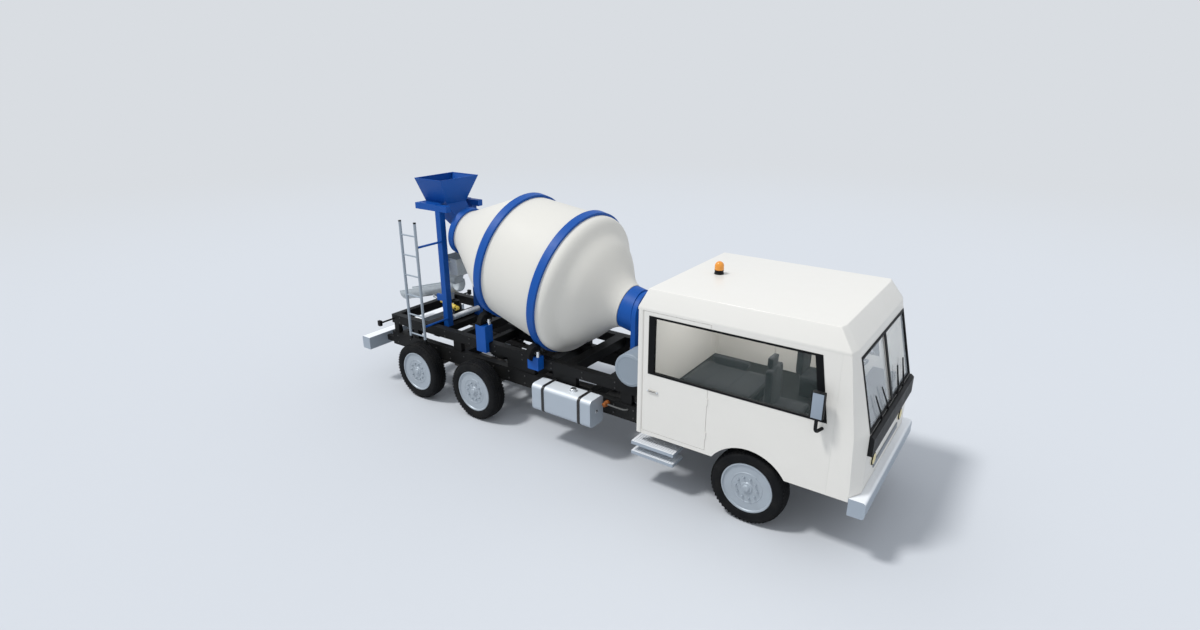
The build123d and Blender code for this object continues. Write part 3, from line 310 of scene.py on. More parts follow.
def bar(bm, points, radius, sides=10):
    """Round bar along points, with closed ends."""
    rings, up = [], None
    for i, point in enumerate(points):
        here = Vector(point)
        before = here - Vector(points[i - 1]) if i else Vector(points[1]) - here
        after = Vector(points[i + 1]) - here if i + 1 < len(points) else before
        along = (before.normalized() + after.normalized()).normalized()
        up = along.orthogonal().normalized() if up is None else (up - along * up.dot(along)).normalized()
        across = along.cross(up)
        angles = [math.tau * k / sides for k in range(sides)]
        rings.append([bm.verts.new(here + (up * math.cos(a) + across * math.sin(a)) * radius) for a in angles])
    skin(bm, rings)


rail_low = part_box("main_frame")[0].z
bm = bmesh.new()
for _, side in SIDES:
    for n in range(5):
        leaf(bm, ahead(0), 0.758 - 0.12 * n, (side * 0.367, side * 0.443), rail_low - 0.535, 0.53 - 0.018 * n)
        leaf(bm, ahead(-5.775), 0.81 - 0.13 * n, (side * 0.602, side * 0.688), -0.012 - 0.008 * n,
             0.645 + 0.0185 * n)
    slab(bm, (ahead(-5.865), ahead(-5.685)), (side * 0.60, side * 0.85), (rail_low - 0.04, rail_low))
finished("spring_leaves", bm, spring_black, bevel=0.003, stands_for="leaf_springs")
U_BOLT_R, U_BOLT_TOP = 0.008, 0.555
bm = bmesh.new()
for _, side in SIDES:
    for x in (-0.075, 0.075):
        for y in (0.358, 0.452):
            bar(bm, [(ahead(x), side * y, 0.40), (ahead(x), side * y, U_BOLT_TOP)], U_BOLT_R)
        bar(bm, [(ahead(x), side * 0.35, U_BOLT_TOP), (ahead(x), side * 0.46, U_BOLT_TOP)], U_BOLT_R)
finished("spring_bolts", bm, zinc)

# ------------------------------------------------------------------ tyres
# Tubeless radial truck tyres: vulcanised rubber filled with carbon black, matt, with circumferential
# grooves and shoulder lugs. Walls carry fine moulded rings; the grain is drawn at 3 mm, so that it shows.
rubber, tree, shader, place = finish_of("vulcanised_rubber", "101113", 0.75, Specular_IOR_Level=0.15)
cloud = put(tree, "TexNoise", {"Vector": place, "Scale": 5.0, "Detail": 5.0})
dusty = put(tree, "MapRange", {"Value": cloud, 1: 0.45, 2: 0.8, 3: 0.0, 4: 0.14})
colour = put(tree, "Mix", {0: dusty, 6: linear("101113"), 7: linear("4a463f")}, data_type="RGBA")
grain = put(tree, "TexNoise", {"Vector": place, "Scale": 320.0, "Detail": 2.0})
bump = put(tree, "Bump", {"Strength": 0.25, "Distance": 0.001, "Height": grain})
wire(shader, {"Base Color": colour, "Normal": bump})

low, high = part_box("tyre_front_left")
TYRE_R, TYRE_HALF = (high.z - low.z) / 2, (high.y - low.y) / 2
low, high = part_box("wheel_front_left")
RIM_R = (high.z - low.z) / 2
half_tread = [(TYRE_HALF - inset, RIM_R + rise) for inset, rise in (
    (0.025, 0.0005), (0.013, 0.01), (0.006, 0.024), (0.008, 0.03), (0.003, 0.042), (0.001, 0.075),
    (0.003, 0.095), (0.001, 0.099), (0.005, 0.12))]
half_tread += [(TYRE_HALF - inset, TYRE_R - drop) for inset, drop in ((0.014, 0.036), (0.03, 0.017), (0.05, 0.007))]
half_tread += [(aside, TYRE_R - drop) for aside, drop in (
    (0.067, 0.004), (0.064, 0.019), (0.055, 0.019), (0.052, 0.003),
    (0.025, 0.001), (0.022, 0.018), (0.013, 0.018), (0.010, 0.0005))]
LUGS, LUG_SLANT = 56, 0.012


def each_wheel(kind):
    """Name, hub, side and body of each of the six tyres or wheels."""
    for name in sorted(n for n in nodes if n.startswith(kind)):
        low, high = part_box(name.replace("wheel_", "tyre_"))
        hub = (low + high) / 2
        yield name, hub, 1 if hub.y > 0 else -1, "{1}_{2}_wheel".format(*name.split("_"))


for name, hub, side, body in each_wheel("tyre_"):
    bm = bmesh.new()
    lathe(bm, half_tread + [(-a, r) for a, r in reversed(half_tread)], hub, (0, side, 0), 80)
    finished(f"{name}_carcass", bm, rubber, body, smooth=28, stands_for=name)
    lug = bmesh.new()
    slab(lug, (-0.018, 0.002), (-0.012, 0.012), (TYRE_HALF - 0.052, TYRE_HALF - 0.012))
    for v in lug.verts:
        if v.co.x > 0 and v.co.z > TYRE_HALF - 0.02:
            v.co.x -= LUG_SLANT
    repeated(f"{name}_lugs", lug, True, LUGS, TYRE_R - 0.008,
             [towards(hub, (0, s, 0)) for s in (1, -1)], rubber, body)

# ------------------------------------------------------------------ wheels
# Pressed steel discs welded into rolled rims and sprayed silver, so they look soft and metallic without
# a mirror finish. Ten nuts hold each disc to its hub, and a valve stands beside them.
wheel_silver = sprayed("wheel_silver_lacquer", "a9b2ba", 0.42, soil="6e675d", soiled=0.2, peel=0.08,
                       metallic=0.25)
# machined aluminium: bright, its sheen broken by faint marks about 20 mm apart
polished, tree, shader, place = finish_of("machined_aluminium", "e2e5e7", 0.2, 0.95)
turned = put(tree, "TexNoise", {"Vector": place, "Scale": 45.0, "Detail": 4.0})
wire(shader, {"Roughness": put(tree, "MapRange", {"Value": turned, 3: 0.14, 4: 0.32})})
disc, lip = TYRE_HALF - 0.033, TYRE_HALF - 0.0205
NUTS, NUT_CIRCLE = 10, 0.152
for name, hub, side, body in each_wheel("wheel_"):
    dress(wheel_silver, name)
    repeated(f"{name}_nuts", hexagon(0.0185, 0.024, 0.014), True, NUTS, NUT_CIRCLE,
             [towards(hub + Vector((0, side * disc, 0)), (0, side, 0))], wheel_silver, body)
    bm = bmesh.new()
    lathe(bm, [(lip, RIM_R - 0.022), (lip + 0.006, RIM_R - 0.02), (lip + 0.008, RIM_R - 0.012),
               (lip + 0.006, RIM_R - 0.004), (lip, RIM_R - 0.002)], hub, (0, side, 0), 72)
    lathe(bm, [(disc, 0.21), (disc + 0.004, 0.214), (disc + 0.004, 0.222), (disc, 0.226)], hub, (0, side, 0), 64)
    bar(bm, [hub + Vector((0.12, side * (disc - 0.002), 0.19)),
             hub + Vector((0.125, side * (disc + 0.02), 0.2))], 0.005)
    finished(f"{name}_trim", bm, wheel_silver, body)

# ------------------------------------------------------------------ bumpers, steps and tanks
# Bumpers, steps and tanks folded from aluminium sheet and brushed, so soft bright streaks follow the
# grain. The tank hangs in two painted straps; a small brake valve sits on the web ahead of it.


def brushed(name, code, rough, grain=(1.5, 90.0, 90.0), metallic=0.8, painted_sky_reflection=""):
    """Metal scratched along one axis, about 10 mm apart, coarser than the real grain so that it shows.
    Faces that look up can be mixed to a paler colour, a painted reflection of the bright air above them."""
    made, tree, shader, place = finish_of(name, code, rough, metallic)
    # painted reflection: faces that look up are mixed towards the paler colour, so tops read lighter than sides
    if painted_sky_reflection:
        facing = put(tree, "NewGeometry").outputs["Normal"]
        upward = put(tree, "SeparateXYZ", {0: facing}).outputs["Z"]
        share = put(tree, "MapRange", {"Value": upward, 1: 0.1, 2: 0.8, 3: 0.0, 4: 1.0})
        colour = put(tree, "Mix", {0: share, 6: linear(code), 7: linear(painted_sky_reflection)}, data_type="RGBA")
        wire(shader, {"Base Color": colour})
    drawn = put(tree, "Mapping", {"Vector": place, "Scale": grain})
    lines = put(tree, "TexNoise", {"Vector": drawn, "Scale": 1.0, "Detail": 5.0})
    cloud = put(tree, "TexNoise", {"Vector": place, "Scale": 3.0, "Detail": 4.0})
    both = put(tree, "Mix", {0: 0.4, 2: lines, 3: cloud})
    spread = put(tree, "MapRange", {"Value": both, 1: 0.3, 2: 0.7, 3: rough - 0.1, 4: rough + 0.14})
    bump = put(tree, "Bump", {"Strength": 0.12, "Distance": 0.001, "Height": lines})
    wire(shader, {"Roughness": spread, "Normal": bump})
    return made


# both sheets are painted paler on their upward faces, a painted reflection that makes bumper, step and tank tops
# lighter than their sides
sheet = brushed("brushed_aluminium_sheet", "a9b2bb", 0.42, metallic=0.1, painted_sky_reflection="dde2e6")
cross_sheet = brushed("brushed_aluminium_across", "9da7b1", 0.36, grain=(90.0, 1.5, 90.0), metallic=0.1,
                      painted_sky_reflection="f2f4f6")
dress(cross_sheet, "cab_steps", "cross_tube")
dress(sheet, "fuel_tank", "air_tanks")
dress(brushed("drawn_aluminium_tube", "9aa4ad", 0.42, grain=(60.0, 60.0, 1.5), metallic=0.2), "ladder")


def softened(name, material, radius, chosen):
    """Stands for a pressed panel: a merged copy of its solid with the chosen outer edges rolled to a radius."""
    bm = bmesh.new()
    bm.from_mesh(nodes[name].data)
    bmesh.ops.remove_doubles(bm, verts=bm.verts, dist=1e-5)
    bmesh.ops.dissolve_limit(bm, angle_limit=math.radians(0.5), verts=bm.verts, edges=bm.edges)
    bm.normal_update()
    edges = [e for e in bm.edges if len(e.link_faces) == 2 and e.calc_face_angle(0) > math.radians(9)
             and chosen(e.verts[0].co, e.verts[1].co)]
    bmesh.ops.bevel(bm, geom=edges, offset=radius, segments=6, profile=0.5, affect="EDGES", clamp_overlap=True)
    finished(f"{name}_pressing", bm, material, smooth=32, stands_for=name)


low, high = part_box("bumpers")
softened("bumpers", cross_sheet, 0.055, lambda a, b: abs(a.y - b.y) > 1.0 and all(
    p.x > high.x - 0.002 or p.x < low.x + 0.002 for p in (a, b)))

low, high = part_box("cab_steps")
bm = bmesh.new()
slab(bm, (0, 0.012), (-0.115, 0.115), (0, 0.006))
for corner in bm.verts:
    if corner.co.z > 0.003:
        corner.co.x += 0.003 if corner.co.x < 0.006 else -0.003
STEP_Z, TREADS, TREAD_STEP = (0.56, 0.72), 17, 0.038
repeated("step_treads", bm, False, TREADS, Vector((TREAD_STEP, 0, 0)),
         [Matrix.Translation((low.x + 0.035, side * 1.165, z)) for _, side in SIDES for z in STEP_Z], cross_sheet)

low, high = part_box("fuel_tank")
# black painted strap, glossier than the frame
strap_black = sprayed("strap_black_paint", "101113", 0.42, soiled=0.2)
TANK_CORNER, STRAP_WIDE, STRAP_OUT = 0.07, 0.05, (0.0005, 0.007)
bm = bmesh.new()
for x in (-3.515, -2.805):
    path = [(high.y, high.z, 0, 1)]
    for centre, start in ((high.z - TANK_CORNER, 0.5), (low.z + TANK_CORNER, 1.0)):
        for n in range(7):
            angle = math.pi * (start + n / 12)
            ny, nz = math.cos(angle), math.sin(angle)
            path.append((low.y + TANK_CORNER + TANK_CORNER * ny, centre + TANK_CORNER * nz, ny, nz))
    path.append((high.y, low.z, 0, -1))
    skin(bm, [[bm.verts.new((ahead(x) + STRAP_WIDE * i, y + ny * STRAP_OUT[j], z + nz * STRAP_OUT[j]))
               for i, j in SQUARE] for y, z, ny, nz in path])
finished("tank_straps", bm, strap_black, smooth=30)
bm = bmesh.new()
cap = Vector((ahead(-3.0), (low.y + high.y) / 2, high.z))
lathe(bm, [(-0.001, 0), (-0.001, 0.06), (0.012, 0.06), (0.014, 0.05), (0.04, 0.05), (0.046, 0.044), (0.046, 0)],
      cap, (0, 0, 1), 32)
for x in (low.x, high.x):
    lathe(bm, [(-0.001, 0), (-0.001, 0.03), (0.004, 0.028), (0.004, 0)], (x, cap.y, 0.82),
          (1 if x == high.x else -1, 0, 0), 24)
finished("tank_fittings", bm, polished, bevel=0.002)

# small brake valve of cast bronze, brown and dull with weather, and its steel pipe in matt primer
rust, tree, shader, place = finish_of("weathered_bronze", "9a5326", 0.62, 0.35)
cloud = put(tree, "TexNoise", {"Vector": place, "Scale": 30.0, "Detail": 6.0})
colour = put(tree, "Mix", {0: cloud, 6: linear("5a2f18"), 7: linear("c0702f")}, data_type="RGBA")
wire(shader, {"Base Color": colour})
bm = bmesh.new()
lathe(bm, [(0, 0), (0, 0.045), (0.05, 0.045), (0.06, 0.036), (0.11, 0.036), (0.115, 0.026), (0.115, 0)],
      (ahead(-2.47), -web, 0.93), (0, -1, 0), 24)
finished("brake_valve", bm, rust, bevel=0.003)
bm = bmesh.new()
bar(bm, [(ahead(-2.44), -web - 0.055, 0.93), (ahead(-2.3), -web - 0.055, 0.925), (ahead(-2.16), -web - 0.05, 0.92),
         (ahead(-2.12), -web - 0.03, 0.92), (ahead(-2.1), -web + 0.001, 0.92)], 0.013, 12)
finished("brake_pipe", bm, sprayed("grey_primer", "5c5d5c", 0.6))

# ------------------------------------------------------------------ cab shell
# Panels pressed from steel sheet, welded at the corners and sprayed warm white in two coats: smooth, with a
# low gloss and very little dust. The side windows are tinted panes held in rubber seals.
cab_white = sprayed("cab_white_lacquer", "e1ded7", 0.42, soil="8c857a", soiled=0.12, peel=0.05, coat=0.15)
dress(cab_white, "cab_roof", "cab_rear_wall", "cab_front", "cab_sides", "door_left", "door_right")
# half widths at the cab's upright edges, heights of the roof's edges, and the radius they are pressed to
HALF_WIDTHS, ROOF_EDGES, CAB_ROUND = (1.25, 1.079), (3.026, 2.769), 0.03


def on_corner(a, b):
    """True for an edge along one of the upright corners of the cab's nose or back."""
    return all((p.x > ahead(0.9) or p.x < ahead(-1.55)) and any(abs(abs(p.y) - w) < 0.002 for w in HALF_WIDTHS)
               for p in (a, b)) and abs(a.z - b.z) > 0.01


def on_roof(a, b):
    """True for an edge round the roof's top or its foot, or up one of its corners."""
    return all(any(abs(p.z - z) < 0.002 for z in ROOF_EDGES) for p in (a, b)) or on_corner(a, b)


for name, chosen in (("cab_roof", on_roof), ("cab_front", on_corner), ("cab_rear_wall", on_corner)):
    softened(name, cab_white, CAB_ROUND, chosen)
# moulded black plastic with a leather grain: soft, with hardly any gloss
black_trim = sprayed("textured_black_plastic", "0c0d0f", 0.5, soil="4b4842", soiled=0.08, peel=0.5, shine=0.2)
dress(black_trim, "cowl", "mirrors", "dashboard", "steering_wheel")
# extruded EPDM rubber: black and dull, its grain drawn at 3 mm, coarser than the real one
seal, tree, shader, place = finish_of("epdm_window_seal", "08090b", 0.6, Specular_IOR_Level=0.15)
grain = put(tree, "TexNoise", {"Vector": place, "Scale": 300.0})
wire(shader, {"Normal": put(tree, "Bump", {"Strength": 0.15, "Distance": 0.001, "Height": grain})})
# tinted laminated glass: a faint grey-green body, mostly seen through, with a clean gloss
glass = finish_of("tinted_laminated_glass", "566362", 0.07, Alpha=0.13, IOR=1.52)[0]
glass.surface_render_method = "BLENDED"

cab_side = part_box("cab_sides")[1].y
door_front, body_rear = ahead(-0.62), ahead(-0.615)
W_BACK, W_LOW, W_TOP = ahead(-1.53), 1.826, 2.677
front_low, front_top = ahead(0.945), ahead(0.807)


def window_front(z):
    """Front edge of the side window at one height."""
    return front_low + (front_top - front_low) * (z - W_LOW) / (W_TOP - W_LOW)


def plate(bm, outline, y):
    """Flat plate with an outline in XZ, between two places on Y."""
    skin(bm, [[bm.verts.new((x, depth, z)) for x, z in outline] for depth in y])


def bracket(bm, outline, y):
    """Flat strip bent to a U in XZ, between two places on Y: its outer points, then its inner ones back."""
    half = len(outline) // 2
    near, far = ([bm.verts.new((x, depth, z)) for x, z in outline] for depth in y)
    count = len(outline)
    for side in (near, far):
        for i in range(half - 1):
            bm.faces.new((side[i], side[i + 1], side[count - 2 - i], side[count - 1 - i]))
    for i in range(count):
        j = (i + 1) % count
        bm.faces.new((near[i], near[j], far[j], far[i]))


POST_BAND, EDGE_BAND = 0.092, 0.028
low_in, top_in, back_in = W_LOW + EDGE_BAND, W_TOP - EDGE_BAND, W_BACK + POST_BAND
POST_LAP, EDGE_LAP = 0.08, 0.02
pane_low, pane_top = W_LOW + EDGE_LAP, W_TOP - EDGE_LAP
for hand, side in SIDES:
    depth = sorted((side * (cab_side - 0.046), side * (cab_side + 0.004)))
    pane = sorted((side * (cab_side - 0.03), side * (cab_side - 0.024)))
    # door part
    bm = bmesh.new()
    bracket(bm, [(door_front, W_LOW), (W_BACK, W_LOW), (W_BACK, W_TOP), (door_front, W_TOP),
                 (door_front, top_in), (back_in, top_in), (back_in, low_in), (door_front, low_in)], depth)
    finished(f"door_window_seal_{hand}", bm, seal, f"{hand}_door")
    bm = bmesh.new()
    plate(bm, [(W_BACK + POST_LAP, pane_low), (door_front, pane_low), (door_front, pane_top),
               (W_BACK + POST_LAP, pane_top)], pane)
    finished(f"door_glass_{hand}", bm, glass, f"{hand}_door")
    # fixed part
    bm = bmesh.new()
    bracket(bm, [(body_rear, W_LOW), (window_front(W_LOW), W_LOW), (window_front(W_TOP), W_TOP), (body_rear, W_TOP),
                 (body_rear, top_in), (window_front(top_in) - POST_BAND, top_in),
                 (window_front(low_in) - POST_BAND, low_in), (body_rear, low_in)], depth)
    finished(f"side_window_seal_{hand}", bm, seal)
    bm = bmesh.new()
    plate(bm, [(body_rear, pane_low), (window_front(W_LOW) - POST_LAP, pane_low),
               (window_front(W_TOP) - POST_LAP, pane_top), (body_rear, pane_top)], pane)
    finished(f"side_glass_{hand}", bm, glass)

# ------------------------------------------------------------------ windscreen
# Two flat laminated panes in one black rubber frame, raked with the cab's nose. Four wipers stand on
# spindles in the cowl below them.
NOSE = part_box("cab_front")[1].x
RAKE, RAKE_FOOT = 0.245 / 1.047, 1.722


def screen_point(y, z, out=0.0):
    """Point on the raked front, moved outwards by a distance."""
    lean = math.atan(RAKE)
    return Vector((NOSE - max(0.0, z - RAKE_FOOT) * RAKE + out * math.cos(lean), y, z + out * math.sin(lean)))


def raked_bar(bm, y, z, out):
    """Bar on the raked front between two places on Y and Z, and two depths."""
    skin(bm, [[bm.verts.new(screen_point(y[i], z[j], depth)) for i, j in SQUARE] for depth in out])


def hollow(bm, oblongs, depths, point):
    """Closed frame between two oblongs of (half width, foot, top), set on the front by a function."""
    outer, inner = [[[bm.verts.new(point(y, z, out)) for out in depths]
                     for y, z in ((-w, foot), (w, foot), (w, top), (-w, top))] for w, foot, top in oblongs]
    for i in range(4):
        j = (i + 1) % 4
        (a, b), (c, d), (e, f), (g, h) = outer[i], outer[j], inner[i], inner[j]
        for face in ((a, c, d, b), (e, f, h, g), (a, e, g, c), (b, d, h, f)):
            bm.faces.new(face)


S_LOW, S_TOP, S_IN, S_OUT = 1.735, 2.655, 0.028, 1.04
bm = bmesh.new()
hollow(bm, ((S_OUT + 0.014, S_LOW, S_TOP + 0.012), (S_OUT - 0.03, S_LOW + 0.03, S_TOP - 0.03)),
       (-0.04, 0.007), screen_point)
raked_bar(bm, (-S_IN - 0.02, S_IN + 0.02), (S_LOW + 0.024, S_TOP - 0.024), (0.0005, 0.009))
finished("windscreen_frame", bm, seal, bevel=0.003)
bm = bmesh.new()
for side in (1, -1):
    raked_bar(bm, (side * S_IN, side * (S_OUT - 0.02)), (S_LOW + 0.02, S_TOP - 0.02), (-0.02, -0.014))
# the raked screen is pale with a painted reflection of the bright air ahead of it, and hides most of the cab
painted_reflection_glass = finish_of("laminated_glass_with_painted_reflection", "dfe5e9", 0.06, Alpha=0.36, IOR=1.52)[0]
painted_reflection_glass.surface_render_method = "BLENDED"
finished("windscreen_glass", bm, painted_reflection_glass)

# four wiper arms of painted steel strip, each on its own spindle in the cowl, with a rubber blade
bm, blades = bmesh.new(), bmesh.new()
forward = Vector((1, 0, 0))
for foot, tip in ((-0.577, -0.719), (-0.257, -0.415), (0.257, 0.4), (0.565, 0.708)):
    low_end, high_end = screen_point(foot, 1.745, 0.02), screen_point(tip, 2.08, 0.016)
    bar(bm, [low_end, low_end.lerp(high_end, 0.35) + forward * 0.006, low_end.lerp(high_end, 0.75)], 0.010, 8)
    bar(bm, [low_end.lerp(high_end, 0.3) + forward * 0.003, high_end], 0.009, 8)
    lathe(bm, [(-0.03, 0), (-0.03, 0.016), (0.006, 0.016), (0.012, 0.008), (0.012, 0)], low_end, (1, 0, 0.2), 16)
    bar(blades, [low_end.lerp(high_end, 0.1) - forward * 0.004, high_end - forward * 0.004], 0.0045, 6)
finished("wiper_arms", bm, black_trim)
finished("wiper_blades", blades, seal)

# ------------------------------------------------------------------ front panel
# Louvred air grille pressed from sheet and painted grey, between two round headlamps. Each headlamp has a
# cream bezel, a black gasket and a cream domed lens over a chromed bowl.
grille_grey = sprayed("grille_grey_paint", "858b92", 0.45, soiled=0.05)
G_Y, G_Z = 0.62, (1.065, 1.15)
bm = bmesh.new()
hollow(bm, ((G_Y, *G_Z), (G_Y - 0.015, G_Z[0] + 0.01, G_Z[1] - 0.01)), (0.0005, 0.014),
       lambda y, z, out: (NOSE + out, y, z))
finished("grille_frame", bm, grille_grey, bevel=0.002)
bm = bmesh.new()
slab(bm, (NOSE + 0.0006, NOSE + 0.003), (-G_Y + 0.0145, G_Y - 0.0145), (G_Z[0] + 0.0095, G_Z[1] - 0.0095))
finished("grille_back", bm, grille_grey)
slat = bmesh.new()
plate(slat, [(0.0035, 0.003), (0.012, -0.008), (0.015, -0.006), (0.0065, 0.007)], (-G_Y + 0.015, G_Y - 0.015))
repeated("grille_slats", slat, False, 3, Vector((0, 0, 0.02)),
         [Matrix.Translation((NOSE, 0, G_Z[0] + 0.022))], grille_grey)

# chromed brass mirrors its surroundings; the old polycarbonate lens over it is cream and half clouded
chrome = finish_of("chromed_brass", "e6e8ea", 0.08, 1.0)[0]
lens = finish_of("yellowed_polycarbonate", "f2e2a8", 0.08, Alpha=0.8, Coat_Weight=0.5)[0]
lens.surface_render_method = "BLENDED"
bezel = sprayed("cream_bezel_enamel", "e6deba", 0.35, soiled=0.05)
LAMP_ASIDE, LAMP_HEIGHT = 0.71, 1.245
for part, finish, outlines in (
        ("rims", bezel, {40: [(0.0005, 0.092), (0.007, 0.09), (0.007, 0.079), (0.0005, 0.079)]}),
        ("gaskets", seal, {40: [(0.0072, 0.086), (0.019, 0.085), (0.021, 0.082), (0.021, 0.0765), (0.0072, 0.0765)]}),
        ("bowls", chrome, {40: [(0.001, 0), (0.001, 0.076), (0.0115, 0.075), (0.008, 0.045), (0.003, 0.02),
                                (0.002, 0)], 16: [(0.0022, 0), (0.0022, 0.01), (0.009, 0.009), (0.011, 0)]}),
        ("lenses", lens, {40: [(0.012, 0), (0.012, 0.076), (0.021, 0.076), (0.0305, 0.058), (0.0345, 0.03),
                               (0.0355, 0)]})):
    bm = bmesh.new()
    for side in (1, -1):
        for steps, outline in outlines.items():
            lathe(bm, outline, (NOSE, side * LAMP_ASIDE, LAMP_HEIGHT), (1, 0, 0), steps)
    finished(f"headlamp_{part}", bm, finish, stands_for="lamps")

# ------------------------------------------------------------------ beacon and marker lamps
# Moulded amber dome with a ribbed foot on a black moulded base; the marker lamps are black plastic boxes
# on steel stalks at the tail.
amber = finish_of("amber_polycarbonate", "dc8f2c", 0.2, Coat_Weight=0.5, Emission_Strength=0.12,
                  Emission_Color=linear("e0801c"))[0]
at = (ahead(-1.13), 0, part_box("cab_roof")[1].z)
bm = bmesh.new()
lathe(bm, [(0, 0), (0, 0.07), (0.012, 0.07), (0.016, 0.064), (0.05, 0.062), (0.058, 0.068), (0.062, 0.066),
           (0.062, 0)], at, (0, 0, 1), 40)
finished("beacon_base", bm, black_trim, bevel=0.001, stands_for="lamps")
bm = bmesh.new()
outline = [(0.062, 0.0), (0.062, 0.066)]
outline += [(0.066 + 0.052 * n / 6, 0.0685 - (0.0012 if n % 2 else 0) - 0.002 * n / 6) for n in range(7)]
for n in range(1, 8):
    angle = math.pi / 2 * n / 8
    outline.append((0.118 + 0.068 * math.sin(angle), 0.066 * math.cos(angle)))
outline.append((0.186, 0.0))
lathe(bm, outline, at, (0, 0, 1), 40)
finished("beacon_dome", bm, amber, stands_for="lamps")
STALK_X, STALK_Z = ahead(-7.48), 1.265
stalk, boxes = bmesh.new(), bmesh.new()
for side in (1, -1):
    bar(stalk, [(STALK_X, side * (top_web - 0.001), STALK_Z), (STALK_X, side * 1.15, STALK_Z)], 0.017, 14)
    slab(boxes, (STALK_X - 0.04, STALK_X + 0.04), (side * 1.142, side * 1.198), (1.212, 1.318))
finished("marker_stalks", stalk, chassis_black, stands_for="lamps")
finished("marker_boxes", boxes, black_trim, bevel=0.008, stands_for="lamps")

# ------------------------------------------------------------------ mirrors and handles
# Silvered glass set in black plastic shells that arms hold off the cab. Each door has a flat silver pull
# handle, screwed on, with a thin black strip under it that is a painted shadow of the handle.
mirror_face, tree, shader, place = finish_of("silvered_glass", "97a2ae", 0.16, 0.4)
smear = put(tree, "TexNoise", {"Vector": place, "Scale": 14.0, "Detail": 4.0})
wire(shader, {"Roughness": put(tree, "MapRange", {"Value": smear, 3: 0.08, 4: 0.24})})
M_X, M_Z, M_WIDE, M_TALL = ahead(0.855), 2.10, 0.132, 0.322
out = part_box("mirrors")[1].y
bm = bmesh.new()
for side in (1, -1):
    slab(bm, (M_X - M_WIDE / 2, M_X + M_WIDE / 2), (side * (out - 0.002), side * (out + 0.003)),
         (M_Z - M_TALL / 2, M_Z + M_TALL / 2))
finished("mirror_glasses", bm, mirror_face, bevel=0.002)
# smooth silver lacquer, paler than the wheels
handle_silver = sprayed("handle_silver_lacquer", "d3d7da", 0.35, soiled=0.05)
HANDLE_X = (ahead(-1.53), ahead(-1.36))
for hand, side in SIDES:
    # the thin black strip below each handle stands in for the handle's shadow
    for part, finish, out, z, bevel in (("cup", black_trim, 0.006, (1.554, 1.56), 0.002),
                                        ("handle", handle_silver, 0.022, (1.561, 1.585), 0.006)):
        bm = bmesh.new()
        slab(bm, HANDLE_X, (side * (cab_side + 0.0005), side * (cab_side + out)), z)
        finished(f"door_{part}_{hand}", bm, finish, f"{hand}_door", bevel)

# ------------------------------------------------------------------ inside the cab
# Foam seats and a rear couch covered in dark woven cloth, with stitched seams pressed in across them. The
# cloth is matt; its weave is drawn at about 7 mm, coarser than the real threads, so that it shows.
cloth_cover, tree, shader, place = finish_of("dark_woven_cloth", "141619", 0.9, Sheen_Weight=0.1)
warp = put(tree, "TexWave", {"Vector": place, "Scale": 45.0, "Distortion": 0.4}, bands_direction="X")
weft = put(tree, "TexWave", {"Vector": place, "Scale": 45.0, "Distortion": 0.4}, bands_direction="Z")
weave = put(tree, "Math", {0: warp.outputs["Fac"], 1: weft.outputs["Fac"]}, operation="MULTIPLY")
bump = put(tree, "Bump", {"Strength": 0.4, "Distance": 0.002, "Height": weave})
shade = put(tree, "Mix", {0: weave, 6: linear("101215"), 7: linear("1d2024")}, data_type="RGBA")
wire(shader, {"Base Color": shade, "Normal": bump})


def pad(bm, low, high, crown):
    """Cushion between two corners: crowned faces, sides pulled in at the seams, corners rounded."""
    low, high = Vector(low), Vector(high)
    middle, half = (low + high) / 2, (high - low) / 2
    count = 8
    grid = {}

    def corner(i, j, k):
        key = (i, j, k)
        if key not in grid:
            u, v, w = (2 * i / count - 1, 2 * j / count - 1, 2 * k / count - 1)
            ease = [math.copysign(1 - (1 - abs(t)) ** 1.6, t) for t in (u, v, w)]
            pull = 1 - 0.05 * (abs(u) ** 6 + abs(v) ** 6 + abs(w) ** 6 - 1)
            bulge = crown * (1 - u * u) * (1 - v * v)
            p = Vector((ease[0] * half.x, ease[1] * half.y, ease[2] * (half.z - crown))) * pull
            p.z += math.copysign(bulge, w) if abs(w) > 0.99 else 0
            grid[key] = bm.verts.new(middle + p)
        return grid[key]

    for a in range(count):
        for b in range(count):
            for end in (0, count):
                for order in ((0, 1, 2), (1, 2, 0), (2, 0, 1)):
                    square = []
                    for da, db in ((0, 0), (1, 0), (1, 1), (0, 1)):
                        key = [0, 0, 0]
                        key[order[0]], key[order[1]], key[order[2]] = a + da, b + db, end
                        square.append(corner(*key))
                    bm.faces.new(square)


